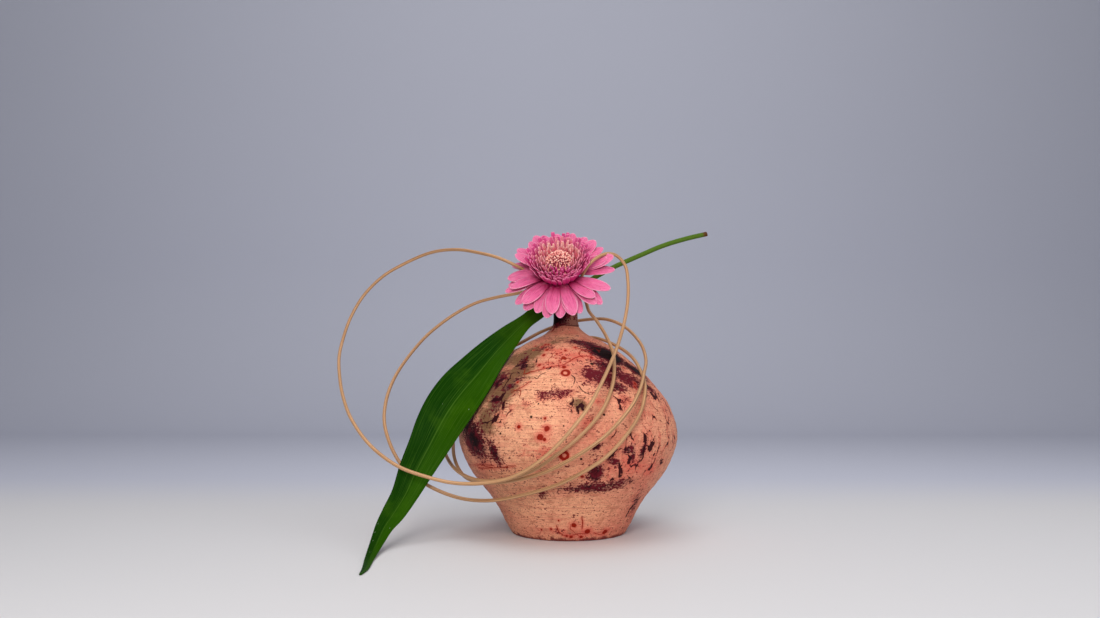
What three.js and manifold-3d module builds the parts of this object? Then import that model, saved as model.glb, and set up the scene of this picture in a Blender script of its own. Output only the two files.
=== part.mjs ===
// Ikebana arrangement: one gerbera, one arching leaf and two long bent canes in a
// hand-thrown bottle vase that holds water.
// Millimetres, +Z up. The origin is the centre of the vase's base, on the surface that it
// stands on. +X is to the viewer's right and -Y is towards the viewer.

import * as THREE from 'three';
import { mergeVertices } from 'three/addons/utils/BufferGeometryUtils.js';
import Module from 'manifold-3d';

const wasm = await Module();
wasm.setup();

// Fits
const CLEARANCE = 0.4;

// Vase: radius and height along the outside, from the foot to the lip
const VASE_OUTLINE = [
  [52, 0], [53.5, 2], [58.5, 10], [64, 21], [72, 33.5], [81.5, 45], [90.5, 57], [97.5, 71],
  [101.5, 84], [101.5, 96], [98.5, 107.5], [93.3, 120], [84.4, 132], [74, 144.5], [60.6, 157],
  [48.5, 167], [36, 175], [24, 180.5], [16, 186], [12.2, 191], [11.2, 197], [11.2, 206], [12, 214.8],
];
const VASE_HEIGHT = 216;
const VASE_SIDES = 36;
const VASE_RINGS = 20;
const VASE_WALL = 5;
const NECK_BORE = 9.2;
const NECK_FOOT = 186;
const VASE_FLOOR = 9;
const LIP_ROUND = 1.2;
const NECK_LEAN = 3.2;
// The strip of clay wrapped round the neck: its step, where it starts and how far it reaches
const WRAP = { thick: 0.8, foot: 191, from: 250, span: 175 };

// Water
const WATER_LEVEL = 112;

// Gerbera
const BLOOM_CENTRE = new THREE.Vector3(-8.4, -24, 237.6);
const BLOOM_TILT = 52;
const BLOOM_TURN = -3.6;
const STEM_RADIUS = 2.8;
const STEM_ROUTE = [
  [5, 3, 30], [4, 2, 80], [1, 1, 125], [-2, 0, 160], [-3, 0, 190], [-4, -1, 207], [-5, -4, 217], [-7, -8, 224],
];
const CALYX_DEPTH = 15;
const CALYX_RADIUS = 14;
const RAY_LAYERS = [
  { count: 12, start: 22, rise: -0.75, lift: 4, length: 37.5, width: 12 },
  { count: 12, start: 10, rise: 0.4, lift: 11, length: 39, width: 12.6 },
];
const RAY_ROOT = 12.5;
const RAY_CORE = 16;
const RAY_THICK = 0.7;
const RAY_TIP_SAG = 8;
// The petals rise most on the side at this bearing, and droop on the side across from it
const RAY_TILT = 10;
const RAY_HIGH_BEARING = 65;
// Where the hoop cane passes between the petals and leaves them pushed apart
const CANE_GAPS = [
  { bearing: -7, half: 12, reach: 45 },
  { bearing: 165, half: 7, reach: 30 },
];
const INNER_ROWS = [
  { count: 21, root: 14, rise: 3.8, reach: 28.5, top: 10.5, width: 2.9 },
  { count: 18, root: 13.8, rise: 6, reach: 24, top: 14.5, width: 2.7 },
  { count: 15, root: 13.4, rise: 8.5, reach: 19.5, top: 17.5, width: 2.4 },
  { count: 12, root: 13, rise: 10, reach: 15.4, top: 19.5, width: 2.1 },
];
const INNER_THICK = 0.7;
// Where along a petal's outline a floret's blunt tip ends
const FLORET_TIP = 0.9;
const DISC_RADIUS = 12.2;
const DISC_BASE = 1.3;
const DISC_SHOULDER = 9;
const DISC_TOP = 18.6;
const DISC_FLORET_RINGS = 4;
const DISC_FLORET = { radius: 1.15, length: 5, sunk: 2.2 };
const BRACT_ROWS = [
  { count: 11, depth: 11, radius: 8.5, length: 8 },
  { count: 13, depth: 7.8, radius: 12, length: 4.6 },
];

// Leaf: matching points on its two edges, from the tip on the surface to the narrow throat
// behind the vase's neck
const LEAF_EDGES = [
  [[-152, -183, 0.9], [-150, -183, 0.9]],
  [[-154, -166, 0.9], [-149, -167, 0.9]],
  [[-159, -134, 2.2], [-152, -130, 1.6]],
  [[-161, -106, 10], [-151, -102, 7]],
  [[-160, -90, 21], [-147, -88, 15]],
  [[-157, -76, 32], [-140, -76, 23]],
  [[-152, -66, 45], [-130, -67, 38]],
  [[-147, -59, 66], [-119, -59, 56]],
  [[-140, -54, 87], [-106, -55, 76]],
  [[-134, -48, 107], [-94, -56, 94]],
  [[-126, -42, 125], [-87, -59, 104]],
  [[-114, -33, 143], [-79, -60, 116]],
  [[-97, -24, 160], [-70, -54, 131]],
  [[-79, -15, 176], [-61, -40, 149]],
  [[-62, -7, 189], [-50, -18, 168]],
  [[-44, 0, 201], [-36, -3, 189]],
  [[-31, 4, 212], [-24, 5, 199]],
  [[-17, 9.5, 222], [-11, 11, 211]],
  [[-4, 14, 229], [0, 15, 221]],
  [[11, 19, 235], [14, 20, 229]],
];
const LEAF_THICK = 0.9;
const LEAF_KEEL = 0.06;
const LEAF_ROWS = 30;
const PETIOLE_RADIUS = 2.6;
const PETIOLE_ROUTE = [
  [-4, 14, 224], [12, 20, 232], [28, 23, 241], [44, 25, 250], [72, 28, 263], [97, 32, 274], [122, 36, 282],
  [141, 40, 287],
];

// Canes: each is one springy length, bent into loops, with both ends wedged in the neck
const CANE_RADIUS = 1.6;
const CANE_SIDES = 7;
const HOOP_ROUTE = [
  // Up out of the mouth and between the petals on the right
  [3, 4, 170], [3, 3, 190], [3, 3, 209], [4, -1, 221], [7, -10, 229], [11, -22, 233], [14, -30, 238],
  [18, -33, 244], [25, -28, 251],
  // Over and down the right side, then across the front of the vase
  [36, -19, 257], [46, -12, 256], [54, -9, 247], [56, -13, 232], [55, -21, 213], [51, -33, 194],
  [46, -47, 179], [39, -66, 162], [22, -103, 130], [12, -114, 114], [-7, -118, 91], [-25, -112, 74],
  [-47, -100, 60], [-69, -90, 54], [-97, -82, 53], [-122, -78, 58], [-146, -73, 66],
  // Up the far left, round and back down between the petals on the left
  [-172, -60, 82], [-195, -36, 104], [-208, -14, 122], [-217, 6, 140], [-223, 24, 162], [-223, 37, 180],
  [-218, 45, 202], [-206, 48, 225], [-187, 46, 244], [-163, 40, 257], [-135, 28, 266], [-108, 11, 266],
  [-84, -5, 260], [-66, -14, 254], [-49, -17, 246], [-36, -8, 240], [-24, 1, 232], [-14, 3, 223],
  [-9, 2, 213], [-8, 2, 203], [-8, 2, 170],
];
const SPIRAL_ROUTE = [
  // Over the rim at the right front, down and round the left side of the belly
  [0, -5, 172], [0, -5, 190], [0, -5, 205], [1, -5, 213], [3, -6, 219], [7, -9, 222], [12, -13, 221],
  [16, -17, 213], [19, -19, 203], [25, -21, 195], [33, -25, 182], [39, -36, 166], [39, -59, 151], [35, -81, 132],
  [24, -99, 111], [5, -106, 91], [-16, -104, 75], [-35, -97, 63], [-66, -76, 54], [-90, -50, 55],
  [-107, -26, 64], [-118, -7, 84], [-119, 8, 107], [-107, 18, 134], [-86, 20, 155], [-62, 18, 168],
  // Behind the neck and down the right side
  [-45, 18, 176], [-25, 22, 187], [-3, 25, 195], [19, 26, 199], [38, 23, 199], [55, 14, 191],
  [68, -1, 175], [71, -21, 159], [66, -49, 145], [60, -71, 131], [48, -97, 114], [27, -109, 93],
  [2, -108, 76], [-23, -99, 63], [-45, -86, 56], [-63, -71, 52], [-79, -56, 51], [-93, -39, 54],
  [-105, -14, 68], [-108, 4, 88], [-105, 18, 113], [-88, 30, 141], [-65, 32, 161], [-43, 33, 172],
  // Lower behind the shoulder and down the right side again
  [-8, 40, 180], [22, 33, 182], [34, 23, 179], [45, 8, 173], [54, -7, 166], [61, -27, 156],
  [66, -47, 140], [65, -65, 129], [59, -83, 112], [47, -95, 95], [28, -103, 76], [3, -99, 60],
  [-13, -92, 52], [-35, -80, 44], [-68, -62, 36], [-97, -51, 37], [-127, -49, 49], [-148, -49, 66],
  // Up the left, behind the leaf, and over the leaf into the mouth
  [-164, -38, 95], [-168, -20, 118], [-163, 4, 145], [-143, 30, 179], [-127, 38, 195], [-109, 41, 208],
  [-91, 40, 217], [-70, 34, 222], [-50, 27, 225], [-33, 20, 228], [-19, 12, 229], [-10, 7, 225],
  [-6, 6, 216], [-4, 6, 206], [-2, 6, 170],
];
// How many points of the hoop's route, at either end, lie near the bloom
const HOOP_ENDS = 11;

const radians = THREE.MathUtils.degToRad;
const vector = ([x, y, z]) => new THREE.Vector3(x, y, z);

// A repeatable stream of numbers between -1 and 1
function jitterStream(seed) {
  let state = seed;
  return () => {
    state = (state * 16807) % 2147483647;
    return (2 * state) / 2147483647 - 1;
  };
}

// A route whose tube gets equal steps between one point and the next, so that tight bends,
// where the points lie closer, get shorter steps
class Route extends THREE.CatmullRomCurve3 {
  constructor(points) {
    super(points.map(vector), false, 'centripetal');
  }

  getUtoTmapping(u) {
    return u;
  }
}

function tube(points, radius, sides, stepsPerPoint) {
  const section = new THREE.Shape(
    Array.from({ length: sides }, (_, k) => {
      const angle = (2 * Math.PI * (k + 0.5)) / sides;
      return new THREE.Vector2(radius * Math.cos(angle), radius * Math.sin(angle));
    }),
  );
  const steps = stepsPerPoint * (points.length - 1);
  return new THREE.ExtrudeGeometry(section, { steps, extrudePath: new Route(points), bevelEnabled: false });
}

// A turned solid about Z from a profile of [radius, height] points
function turned(profile, sides) {
  const points = profile.map(([radius, height]) => new THREE.Vector2(radius, height));
  return new THREE.LatheGeometry(points, sides).rotateX(Math.PI / 2);
}

// A thin closed sheet from rows of points on its middle surface, both faces split alike
function sheet(rows, thickness) {
  const along = rows.length;
  const across = rows[0].length;
  const at = (i, j) => rows[THREE.MathUtils.clamp(i, 0, along - 1)][THREE.MathUtils.clamp(j, 0, across - 1)];
  const positions = [];
  for (const side of [0.5, -0.5]) {
    for (let i = 0; i < along; i += 1) {
      for (let j = 0; j < across; j += 1) {
        const forward = at(i + 1, j).clone().sub(at(i - 1, j));
        const sideways = at(i, j + 1).clone().sub(at(i, j - 1));
        const normal = forward.cross(sideways).normalize();
        positions.push(...at(i, j).clone().addScaledVector(normal, side * thickness).toArray());
      }
    }
  }
  const top = (i, j) => i * across + j;
  const under = (i, j) => (along + i) * across + j;
  const faces = [];
  for (let i = 0; i < along - 1; i += 1) {
    for (let j = 0; j < across - 1; j += 1) {
      faces.push(top(i, j), top(i + 1, j), top(i + 1, j + 1), top(i, j), top(i + 1, j + 1), top(i, j + 1));
      faces.push(under(i, j), under(i + 1, j + 1), under(i + 1, j));
      faces.push(under(i, j), under(i, j + 1), under(i + 1, j + 1));
    }
    const last = across - 1;
    faces.push(top(i, 0), under(i, 0), top(i + 1, 0), top(i + 1, 0), under(i, 0), under(i + 1, 0));
    faces.push(top(i, last), top(i + 1, last), under(i, last));
    faces.push(top(i + 1, last), under(i + 1, last), under(i, last));
  }
  for (let j = 0; j < across - 1; j += 1) {
    const last = along - 1;
    faces.push(top(0, j), top(0, j + 1), under(0, j), top(0, j + 1), under(0, j + 1), under(0, j));
    faces.push(top(last, j), under(last, j), top(last, j + 1));
    faces.push(top(last, j + 1), under(last, j), under(last, j + 1));
  }
  const geometry = new THREE.BufferGeometry();
  geometry.setAttribute('position', new THREE.Float32BufferAttribute(positions, 3));
  geometry.setIndex(faces);
  return geometry;
}

// Joins the shared corners of a geometry and drops the flat triangles at its poles
function welded(geometry) {
  const bare = geometry.clone();
  bare.deleteAttribute('normal');
  bare.deleteAttribute('uv');
  const merged = mergeVertices(bare, 1e-3);
  const index = merged.getIndex().array;
  const kept = [];
  for (let k = 0; k < index.length; k += 3) {
    const [a, b, c] = [index[k], index[k + 1], index[k + 2]];
    if (a !== b && b !== c && c !== a) kept.push(a, b, c);
  }
  merged.setIndex(kept);
  return merged;
}

function solid(geometry) {
  const merged = welded(geometry);
  return new wasm.Manifold(
    new wasm.Mesh({
      numProp: 3,
      vertProperties: new Float32Array(merged.getAttribute('position').array),
      triVerts: new Uint32Array(merged.getIndex().array),
    }),
  );
}

function united(geometries) {
  return geometries.map(solid).reduce((whole, piece) => whole.add(piece));
}

// The largest connected body of a solid, without the loose scraps that a cut leaves
function geometryOf(manifold) {
  const bodies = manifold.decompose().sort((a, b) => b.volume() - a.volume());
  const mesh = bodies[0].getMesh();
  const geometry = new THREE.BufferGeometry();
  geometry.setAttribute('position', new THREE.BufferAttribute(new Float32Array(mesh.vertProperties), 3));
  geometry.setIndex(Array.from(mesh.triVerts));
  return geometry;
}

// Moves the vase's points for the lean of its neck and the strip wrapped round it
function shapeByHand(geometry) {
  const position = geometry.getAttribute('position');
  for (let k = 0; k < position.count; k += 1) {
    const [x, y, z] = [position.getX(k), position.getY(k), position.getZ(k)];
    const radius = Math.hypot(x, y);
    const bearing = THREE.MathUtils.radToDeg(Math.atan2(y, x));
    const pastStart = THREE.MathUtils.euclideanModulo(bearing - WRAP.from, 360);
    const onStrip = radius > 10.4 && z >= WRAP.foot - 0.01 && pastStart <= WRAP.span;
    const grown = onStrip ? (radius + WRAP.thick) / radius : 1;
    position.setXYZ(k, x * grown - NECK_LEAN * (z / VASE_HEIGHT) ** 2, y * grown, z);
  }
  return geometry;
}

const outline = new THREE.SplineCurve(VASE_OUTLINE.map(([r, z]) => new THREE.Vector2(r, z)));

// The inside of the wall, from the floor up, and what keeps this gap from it
function insideProfile(gap) {
  const floor = VASE_FLOOR + gap;
  const inside = [[0, floor]];
  for (let k = 0; k <= VASE_RINGS; k += 1) {
    const point = outline.getPoint(k / VASE_RINGS);
    const tangent = outline.getTangent(k / VASE_RINGS);
    const radius = point.x - (VASE_WALL + gap) * tangent.y;
    const height = point.y + (VASE_WALL + gap) * tangent.x;
    if (point.y < VASE_FLOOR || point.y > NECK_FOOT - 4) continue;
    if (inside.length === 1) inside.push([radius - 6, floor], [radius - 1.5, floor + 2]);
    inside.push([radius, height]);
  }
  const bore = NECK_BORE - gap;
  return [...inside, [bore + 1.2, NECK_FOOT], [bore, NECK_FOOT + 6], [bore, VASE_HEIGHT - LIP_ROUND]];
}

function vase() {
  const outside = outline.getPoints(VASE_RINGS).map((point) => [point.x, point.y]);
  const wrapFoot = outside.findIndex(([, height]) => height > WRAP.foot);
  outside.splice(wrapFoot, 0, [12.1, WRAP.foot - 0.8], [12, WRAP.foot]);
  const [brim] = outside.at(-1);
  const lip = [
    [brim - LIP_ROUND / 2, VASE_HEIGHT - 0.3],
    [brim - LIP_ROUND, VASE_HEIGHT],
    [NECK_BORE + 0.8, VASE_HEIGHT],
  ];
  const profile = [[0, 0], ...outside, ...lip, ...insideProfile(0).reverse()];
  return shapeByHand(turned(profile, VASE_SIDES));
}

function water() {
  const inside = insideProfile(CLEARANCE);
  const dry = inside.findIndex(([, height]) => height > WATER_LEVEL);
  const [[r0, z0], [r1, z1]] = inside.slice(dry - 1, dry + 1);
  const brim = r0 + ((WATER_LEVEL - z0) * (r1 - r0)) / (z1 - z0);
  const profile = [...inside.slice(0, dry), [brim, WATER_LEVEL], [0, WATER_LEVEL]];
  const body = shapeByHand(turned(profile, VASE_SIDES));
  const foot = vector(STEM_ROUTE[0]).add(new THREE.Vector3(0, 0, -CLEARANCE)).toArray();
  const hole = tube([foot, ...STEM_ROUTE.slice(1, 4)], STEM_RADIUS + CLEARANCE, 8, 3);
  return geometryOf(solid(body).subtract(solid(hole)));
}

// A petal's width along its length, 1 at its widest
function petalWidth(along) {
  const widest = 0.62;
  if (along < widest) return THREE.MathUtils.lerp(0.34, 1, Math.sin((Math.PI / 2) * (along / widest)));
  const past = (along - widest) / (1 - widest);
  return Math.max(0.26, Math.sqrt(1 - past ** 2));
}

// A petal that leaves the bloom's axis along +X and is turned to its bearing
function petal({ root, rise, lift, sag, length, width, camber, thick, bearing, across, stations }) {
  const rows = [];
  let radius = root;
  let height = rise;
  stations.forEach((along, k) => {
    if (k > 0) {
      const step = (along - stations[k - 1]) * length;
      const middle = (along + stations[k - 1]) / 2;
      const slope = radians(lift * Math.min(1, 4 * middle) - sag * middle);
      radius += step * Math.cos(slope);
      height += step * Math.sin(slope);
    }
    const half = (width / 2) * petalWidth(along);
    const row = [];
    for (let j = 0; j <= across; j += 1) {
      const side = (2 * j) / across - 1;
      row.push(new THREE.Vector3(radius, side * half, height - camber * side ** 2 * petalWidth(along)));
    }
    rows.push(row);
  });
  return sheet(rows, thick).rotateZ(radians(bearing));
}

// A bearing moved sideways where the hoop cane pushes the petals apart
function besideCane(bearing) {
  return CANE_GAPS.reduce((moved, gap) => {
    const offset = THREE.MathUtils.euclideanModulo(moved - gap.bearing + 180, 360) - 180;
    if (Math.abs(offset) >= gap.reach) return moved;
    const share = (gap.reach - gap.half) / gap.reach;
    return gap.bearing + Math.sign(offset) * (gap.half + Math.abs(offset) * share);
  }, bearing);
}

const bloomTurn = new THREE.Euler(radians(BLOOM_TILT), 0, radians(BLOOM_TURN), 'ZYX');
const bloomPlace = new THREE.Matrix4().makeRotationFromEuler(bloomTurn).setPosition(BLOOM_CENTRE);
const intoBloom = bloomPlace.clone().invert();

// The room that the hoop cane needs where it passes through the bloom, in the bloom's frame
function hoopRoom() {
  const radius = (CANE_RADIUS + CLEARANCE) / Math.cos(Math.PI / CANE_SIDES);
  return [HOOP_ROUTE.slice(0, HOOP_ENDS), HOOP_ROUTE.slice(-HOOP_ENDS)]
    .map((points) => solid(tube(points, radius, CANE_SIDES, 2).applyMatrix4(intoBloom)))
    .reduce((whole, piece) => whole.add(piece));
}

function rays(room) {
  const jitter = jitterStream(41);
  const core = turned(
    [[0, -1.3], [RAY_CORE - 1, -1.3], [RAY_CORE, -0.2], [RAY_CORE - 1, 0.9], [0, 0.9]],
    24,
  );
  const petals = RAY_LAYERS.flatMap(({ count, start, rise, lift, length, width }) =>
    Array.from({ length: count }, (_, k) => {
      const bearing = besideCane(start + (360 * k) / count + 2 * jitter());
      const upward = Math.cos(radians(bearing - RAY_HIGH_BEARING));
      return petal({
        root: RAY_ROOT,
        rise,
        lift: lift + RAY_TILT * upward,
        sag: RAY_TIP_SAG + 2 * jitter(),
        length: length + 1.5 * jitter(),
        width,
        camber: 0.5,
        thick: RAY_THICK,
        bearing,
        across: 2,
        stations: [0, 0.2, 0.45, 0.7, 0.9, 1],
      });
    }),
  );
  return geometryOf(united([core, ...petals]).subtract(room));
}

function innerFlorets(room) {
  const jitter = jitterStream(83);
  const inside = DISC_RADIUS + CLEARANCE;
  const cup = turned(
    [[inside, 1.7], [15, 1.7], [15.4, 4], [14.6, 8], [13.6, 11], [inside, 11], [inside, 1.7]],
    24,
  );
  const florets = INNER_ROWS.flatMap(({ count, root, rise, reach, top, width }, row) =>
    Array.from({ length: count }, (_, k) => {
      const lift = THREE.MathUtils.radToDeg(Math.atan2(top - rise, reach - root));
      return petal({
        root: root - 0.8,
        rise,
        lift: lift + 3 * jitter(),
        sag: -8,
        length: (Math.hypot(top - rise, reach - root) + jitter()) / FLORET_TIP,
        width,
        camber: -0.2,
        thick: INNER_THICK,
        bearing: (360 * (k + 0.5 * (row % 2))) / count + 3 * jitter(),
        across: 1,
        stations: [0, 0.55, FLORET_TIP],
      });
    }),
  );
  const discRoom = turned([[0, 0], [inside, 0], [inside, 40], [0, 40]], 24);
  return geometryOf(united([cup, ...florets]).subtract(solid(discRoom)).subtract(room));
}

function disc() {
  const jitter = jitterStream(7);
  const dome = new THREE.EllipseCurve(0, DISC_SHOULDER, DISC_RADIUS, DISC_TOP - DISC_SHOULDER, 0, Math.PI / 2);
  const profile = [[0, DISC_BASE], [DISC_RADIUS, DISC_BASE], ...dome.getPoints(5).map(({ x, y }) => [x, y])];
  profile[profile.length - 1][0] = 0;
  const florets = [];
  for (let ring = 0; ring <= DISC_FLORET_RINGS; ring += 1) {
    const slope = (ring / DISC_FLORET_RINGS) * 62;
    const count = ring === 0 ? 1 : Math.round(5.6 * ring);
    for (let k = 0; k < count; k += 1) {
      const floret = new THREE.ConeGeometry(DISC_FLORET.radius, DISC_FLORET.length, 4, 1)
        .rotateX(Math.PI / 2)
        .translate(0, 0, DISC_FLORET.length / 2 - DISC_FLORET.sunk)
        .rotateY(radians(slope * 0.6 + 6 * jitter()))
        .translate(DISC_RADIUS * Math.sin(radians(slope)), 0, 0)
        .translate(0, 0, DISC_SHOULDER + (DISC_TOP - DISC_SHOULDER) * Math.cos(radians(slope)))
        .rotateZ(radians((360 * (k + 0.5 * (ring % 2))) / count + 4 * jitter()));
      florets.push(floret);
    }
  }
  const room = turned([[0, 0], [DISC_RADIUS, 0], [DISC_RADIUS, 40], [0, 40]], 24);
  return geometryOf(united([turned(profile, 24), ...florets]).intersect(solid(room)));
}

function stemAndCalyx() {
  const inCalyx = new THREE.Vector3(0, 0, 4 - CALYX_DEPTH).applyMatrix4(bloomPlace).toArray();
  const stem = tube([...STEM_ROUTE, inCalyx], STEM_RADIUS, 8, 2);
  const top = -1.3 - CLEARANCE;
  const cup = turned(
    [[0, -CALYX_DEPTH], [4, -CALYX_DEPTH], [8, -11.5], [12, -7], [CALYX_RADIUS, -4], [11, top], [0, top]],
    20,
  );
  const bracts = BRACT_ROWS.flatMap(({ count, depth, radius, length }, row) =>
    Array.from({ length: count }, (_, k) => petal({
      root: radius - 2,
      rise: -depth - 1.4,
      lift: 48,
      sag: -10,
      length: length + 2,
      width: 3.6,
      camber: 0.5,
      thick: 0.8,
      bearing: (360 * (k + 0.5 * row)) / count,
      across: 1,
      stations: [0, 0.55, 1],
    })),
  );
  return geometryOf(united([stem, ...[cup, ...bracts].map((piece) => piece.applyMatrix4(bloomPlace))]));
}

function leaf() {
  const [left, right] = [0, 1].map((side) => new Route(LEAF_EDGES.map((pair) => pair[side])));
  const shares = [0, 0.25, 0.5, 0.75, 1];
  const rows = [];
  for (let i = 0; i <= LEAF_ROWS; i += 1) {
    const along = i / LEAF_ROWS;
    const [a, b] = [left.getPoint(along), right.getPoint(along)];
    const away = left.getTangent(along).add(right.getTangent(along)).cross(b.clone().sub(a)).normalize();
    const keel = LEAF_KEEL * a.distanceTo(b) * Math.min(1, along * 6);
    rows.push(shares.map((share) => a.clone().lerp(b, share).addScaledVector(away, 4 * keel * share * (1 - share))));
  }
  return geometryOf(united([sheet(rows, LEAF_THICK), tube(PETIOLE_ROUTE, PETIOLE_RADIUS, 8, 2)]));
}

function cane(route) {
  return tube(route, CANE_RADIUS, CANE_SIDES, 2);
}

const FINISHES = {
  clay: { color: 0xd9a383, roughness: 0.6, metalness: 0 },
  water: { color: 0xbfd4d2, roughness: 0.05, metalness: 0 },
  leafGreen: { color: 0x1f4a14, roughness: 0.4, metalness: 0 },
  stemGreen: { color: 0x6b8f3a, roughness: 0.5, metalness: 0 },
  petalPink: { color: 0xe0649b, roughness: 0.6, metalness: 0 },
  floretPink: { color: 0xcf5f97, roughness: 0.6, metalness: 0 },
  discPeach: { color: 0xf0a79b, roughness: 0.7, metalness: 0 },
  cane: { color: 0xb08558, roughness: 0.55, metalness: 0 },
};

function mesh(name, geometry, finish) {
  const piece = new THREE.Mesh(geometry, new THREE.MeshStandardMaterial(FINISHES[finish]));
  piece.name = name;
  return piece;
}

// The petals and florets share the bloom's own frame: its face looks along +Z there
function bloom() {
  const group = new THREE.Group();
  group.rotation.copy(bloomTurn);
  group.position.copy(BLOOM_CENTRE);
  const room = hoopRoom();
  group.add(
    mesh('gerbera_rays', rays(room), 'petalPink'),
    mesh('gerbera_inner_florets', innerFlorets(room), 'floretPink'),
    mesh('gerbera_disc', disc(), 'discPeach'),
  );
  return group;
}

const arrangement = new THREE.Group();
arrangement.add(
  mesh('vase', vase(), 'clay'),
  mesh('water', water(), 'water'),
  mesh('leaf', leaf(), 'leafGreen'),
  mesh('gerbera_stem', stemAndCalyx(), 'stemGreen'),
  bloom(),
  mesh('cane_hoop', cane(HOOP_ROUTE), 'cane'),
  mesh('cane_spiral', cane(SPIRAL_ROUTE), 'cane'),
);

export default arrangement;
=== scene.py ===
"""The looks of an ikebana arrangement: one gerbera, one arching leaf and two long bent canes in
a hand-thrown bottle vase. Metres, +Z up. The origin is the centre of the vase's base."""

import sys

import logging
import math
from dataclasses import dataclass, field
from enum import Enum

import bpy
import numpy as np
from mathutils import Euler, Matrix, Vector


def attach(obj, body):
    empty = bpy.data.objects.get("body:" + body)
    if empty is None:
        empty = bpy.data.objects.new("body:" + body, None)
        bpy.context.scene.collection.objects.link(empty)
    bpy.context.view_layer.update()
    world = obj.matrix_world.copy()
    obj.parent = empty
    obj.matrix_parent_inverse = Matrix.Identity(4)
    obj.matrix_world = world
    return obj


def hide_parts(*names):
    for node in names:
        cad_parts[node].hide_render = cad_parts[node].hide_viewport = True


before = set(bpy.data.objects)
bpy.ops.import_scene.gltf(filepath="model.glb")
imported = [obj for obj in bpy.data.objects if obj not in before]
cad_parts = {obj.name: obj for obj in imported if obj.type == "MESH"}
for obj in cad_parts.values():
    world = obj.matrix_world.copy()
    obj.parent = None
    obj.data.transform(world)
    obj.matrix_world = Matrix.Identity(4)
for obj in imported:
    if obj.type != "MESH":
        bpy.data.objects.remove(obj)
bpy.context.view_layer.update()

MM = 0.001
DEGREE = math.pi / 180
GOLDEN_ANGLE = 137.508 * DEGREE
SEEDS_PER_RING = 20.0
FAR = 9.0
LOG = logging.getLogger("arrangement")

Knots = list[tuple[float, float, float]]
Outline = list[tuple[float, float]]
Colour = tuple[float, float, float]
Spots = list[tuple[Vector, float]]
Shape = dict[str, float | tuple[float, ...]]


class Kind(Enum):
    """What a named input of a geometry tree holds."""

    NUMBER = "NodeSocketFloat"
    WHOLE = "NodeSocketInt"
    POINT = "NodeSocketVector"
    TURN = "NodeSocketRotation"
    OBJECT = "NodeSocketObject"
    MATERIAL = "NodeSocketMaterial"
    GEOMETRY = "NodeSocketGeometry"


class Value:
    """A number, vector, colour or geometry on its way through a node tree."""

    def __init__(self, nodes: "Nodes", socket: bpy.types.NodeSocket) -> None:
        """Wraps one output socket."""
        self.nodes = nodes
        self.socket = socket

    def __add__(self, other: "Value | float") -> "Value":
        """This value plus another."""
        return self.nodes.math("ADD", self, other)

    __radd__ = __add__

    def __sub__(self, other: "Value | float") -> "Value":
        """This value less another."""
        return self.nodes.math("SUBTRACT", self, other)

    def __rsub__(self, other: float) -> "Value":
        """A number less this value."""
        return self.nodes.math("SUBTRACT", other, self)

    def __mul__(self, other: "Value | float") -> "Value":
        """This value times another."""
        return self.nodes.math("MULTIPLY", self, other)

    __rmul__ = __mul__

    def __truediv__(self, other: "Value | float") -> "Value":
        """This value over another."""
        return self.nodes.math("DIVIDE", self, other)

    def __rtruediv__(self, other: float) -> "Value":
        """A number over this value."""
        return self.nodes.math("DIVIDE", other, self)

    def __pow__(self, other: "Value | float") -> "Value":
        """This value to a power."""
        return self.nodes.math("POWER", self, other)


Input = Value | float | str | bool | tuple | list | bpy.types.ID


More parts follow.
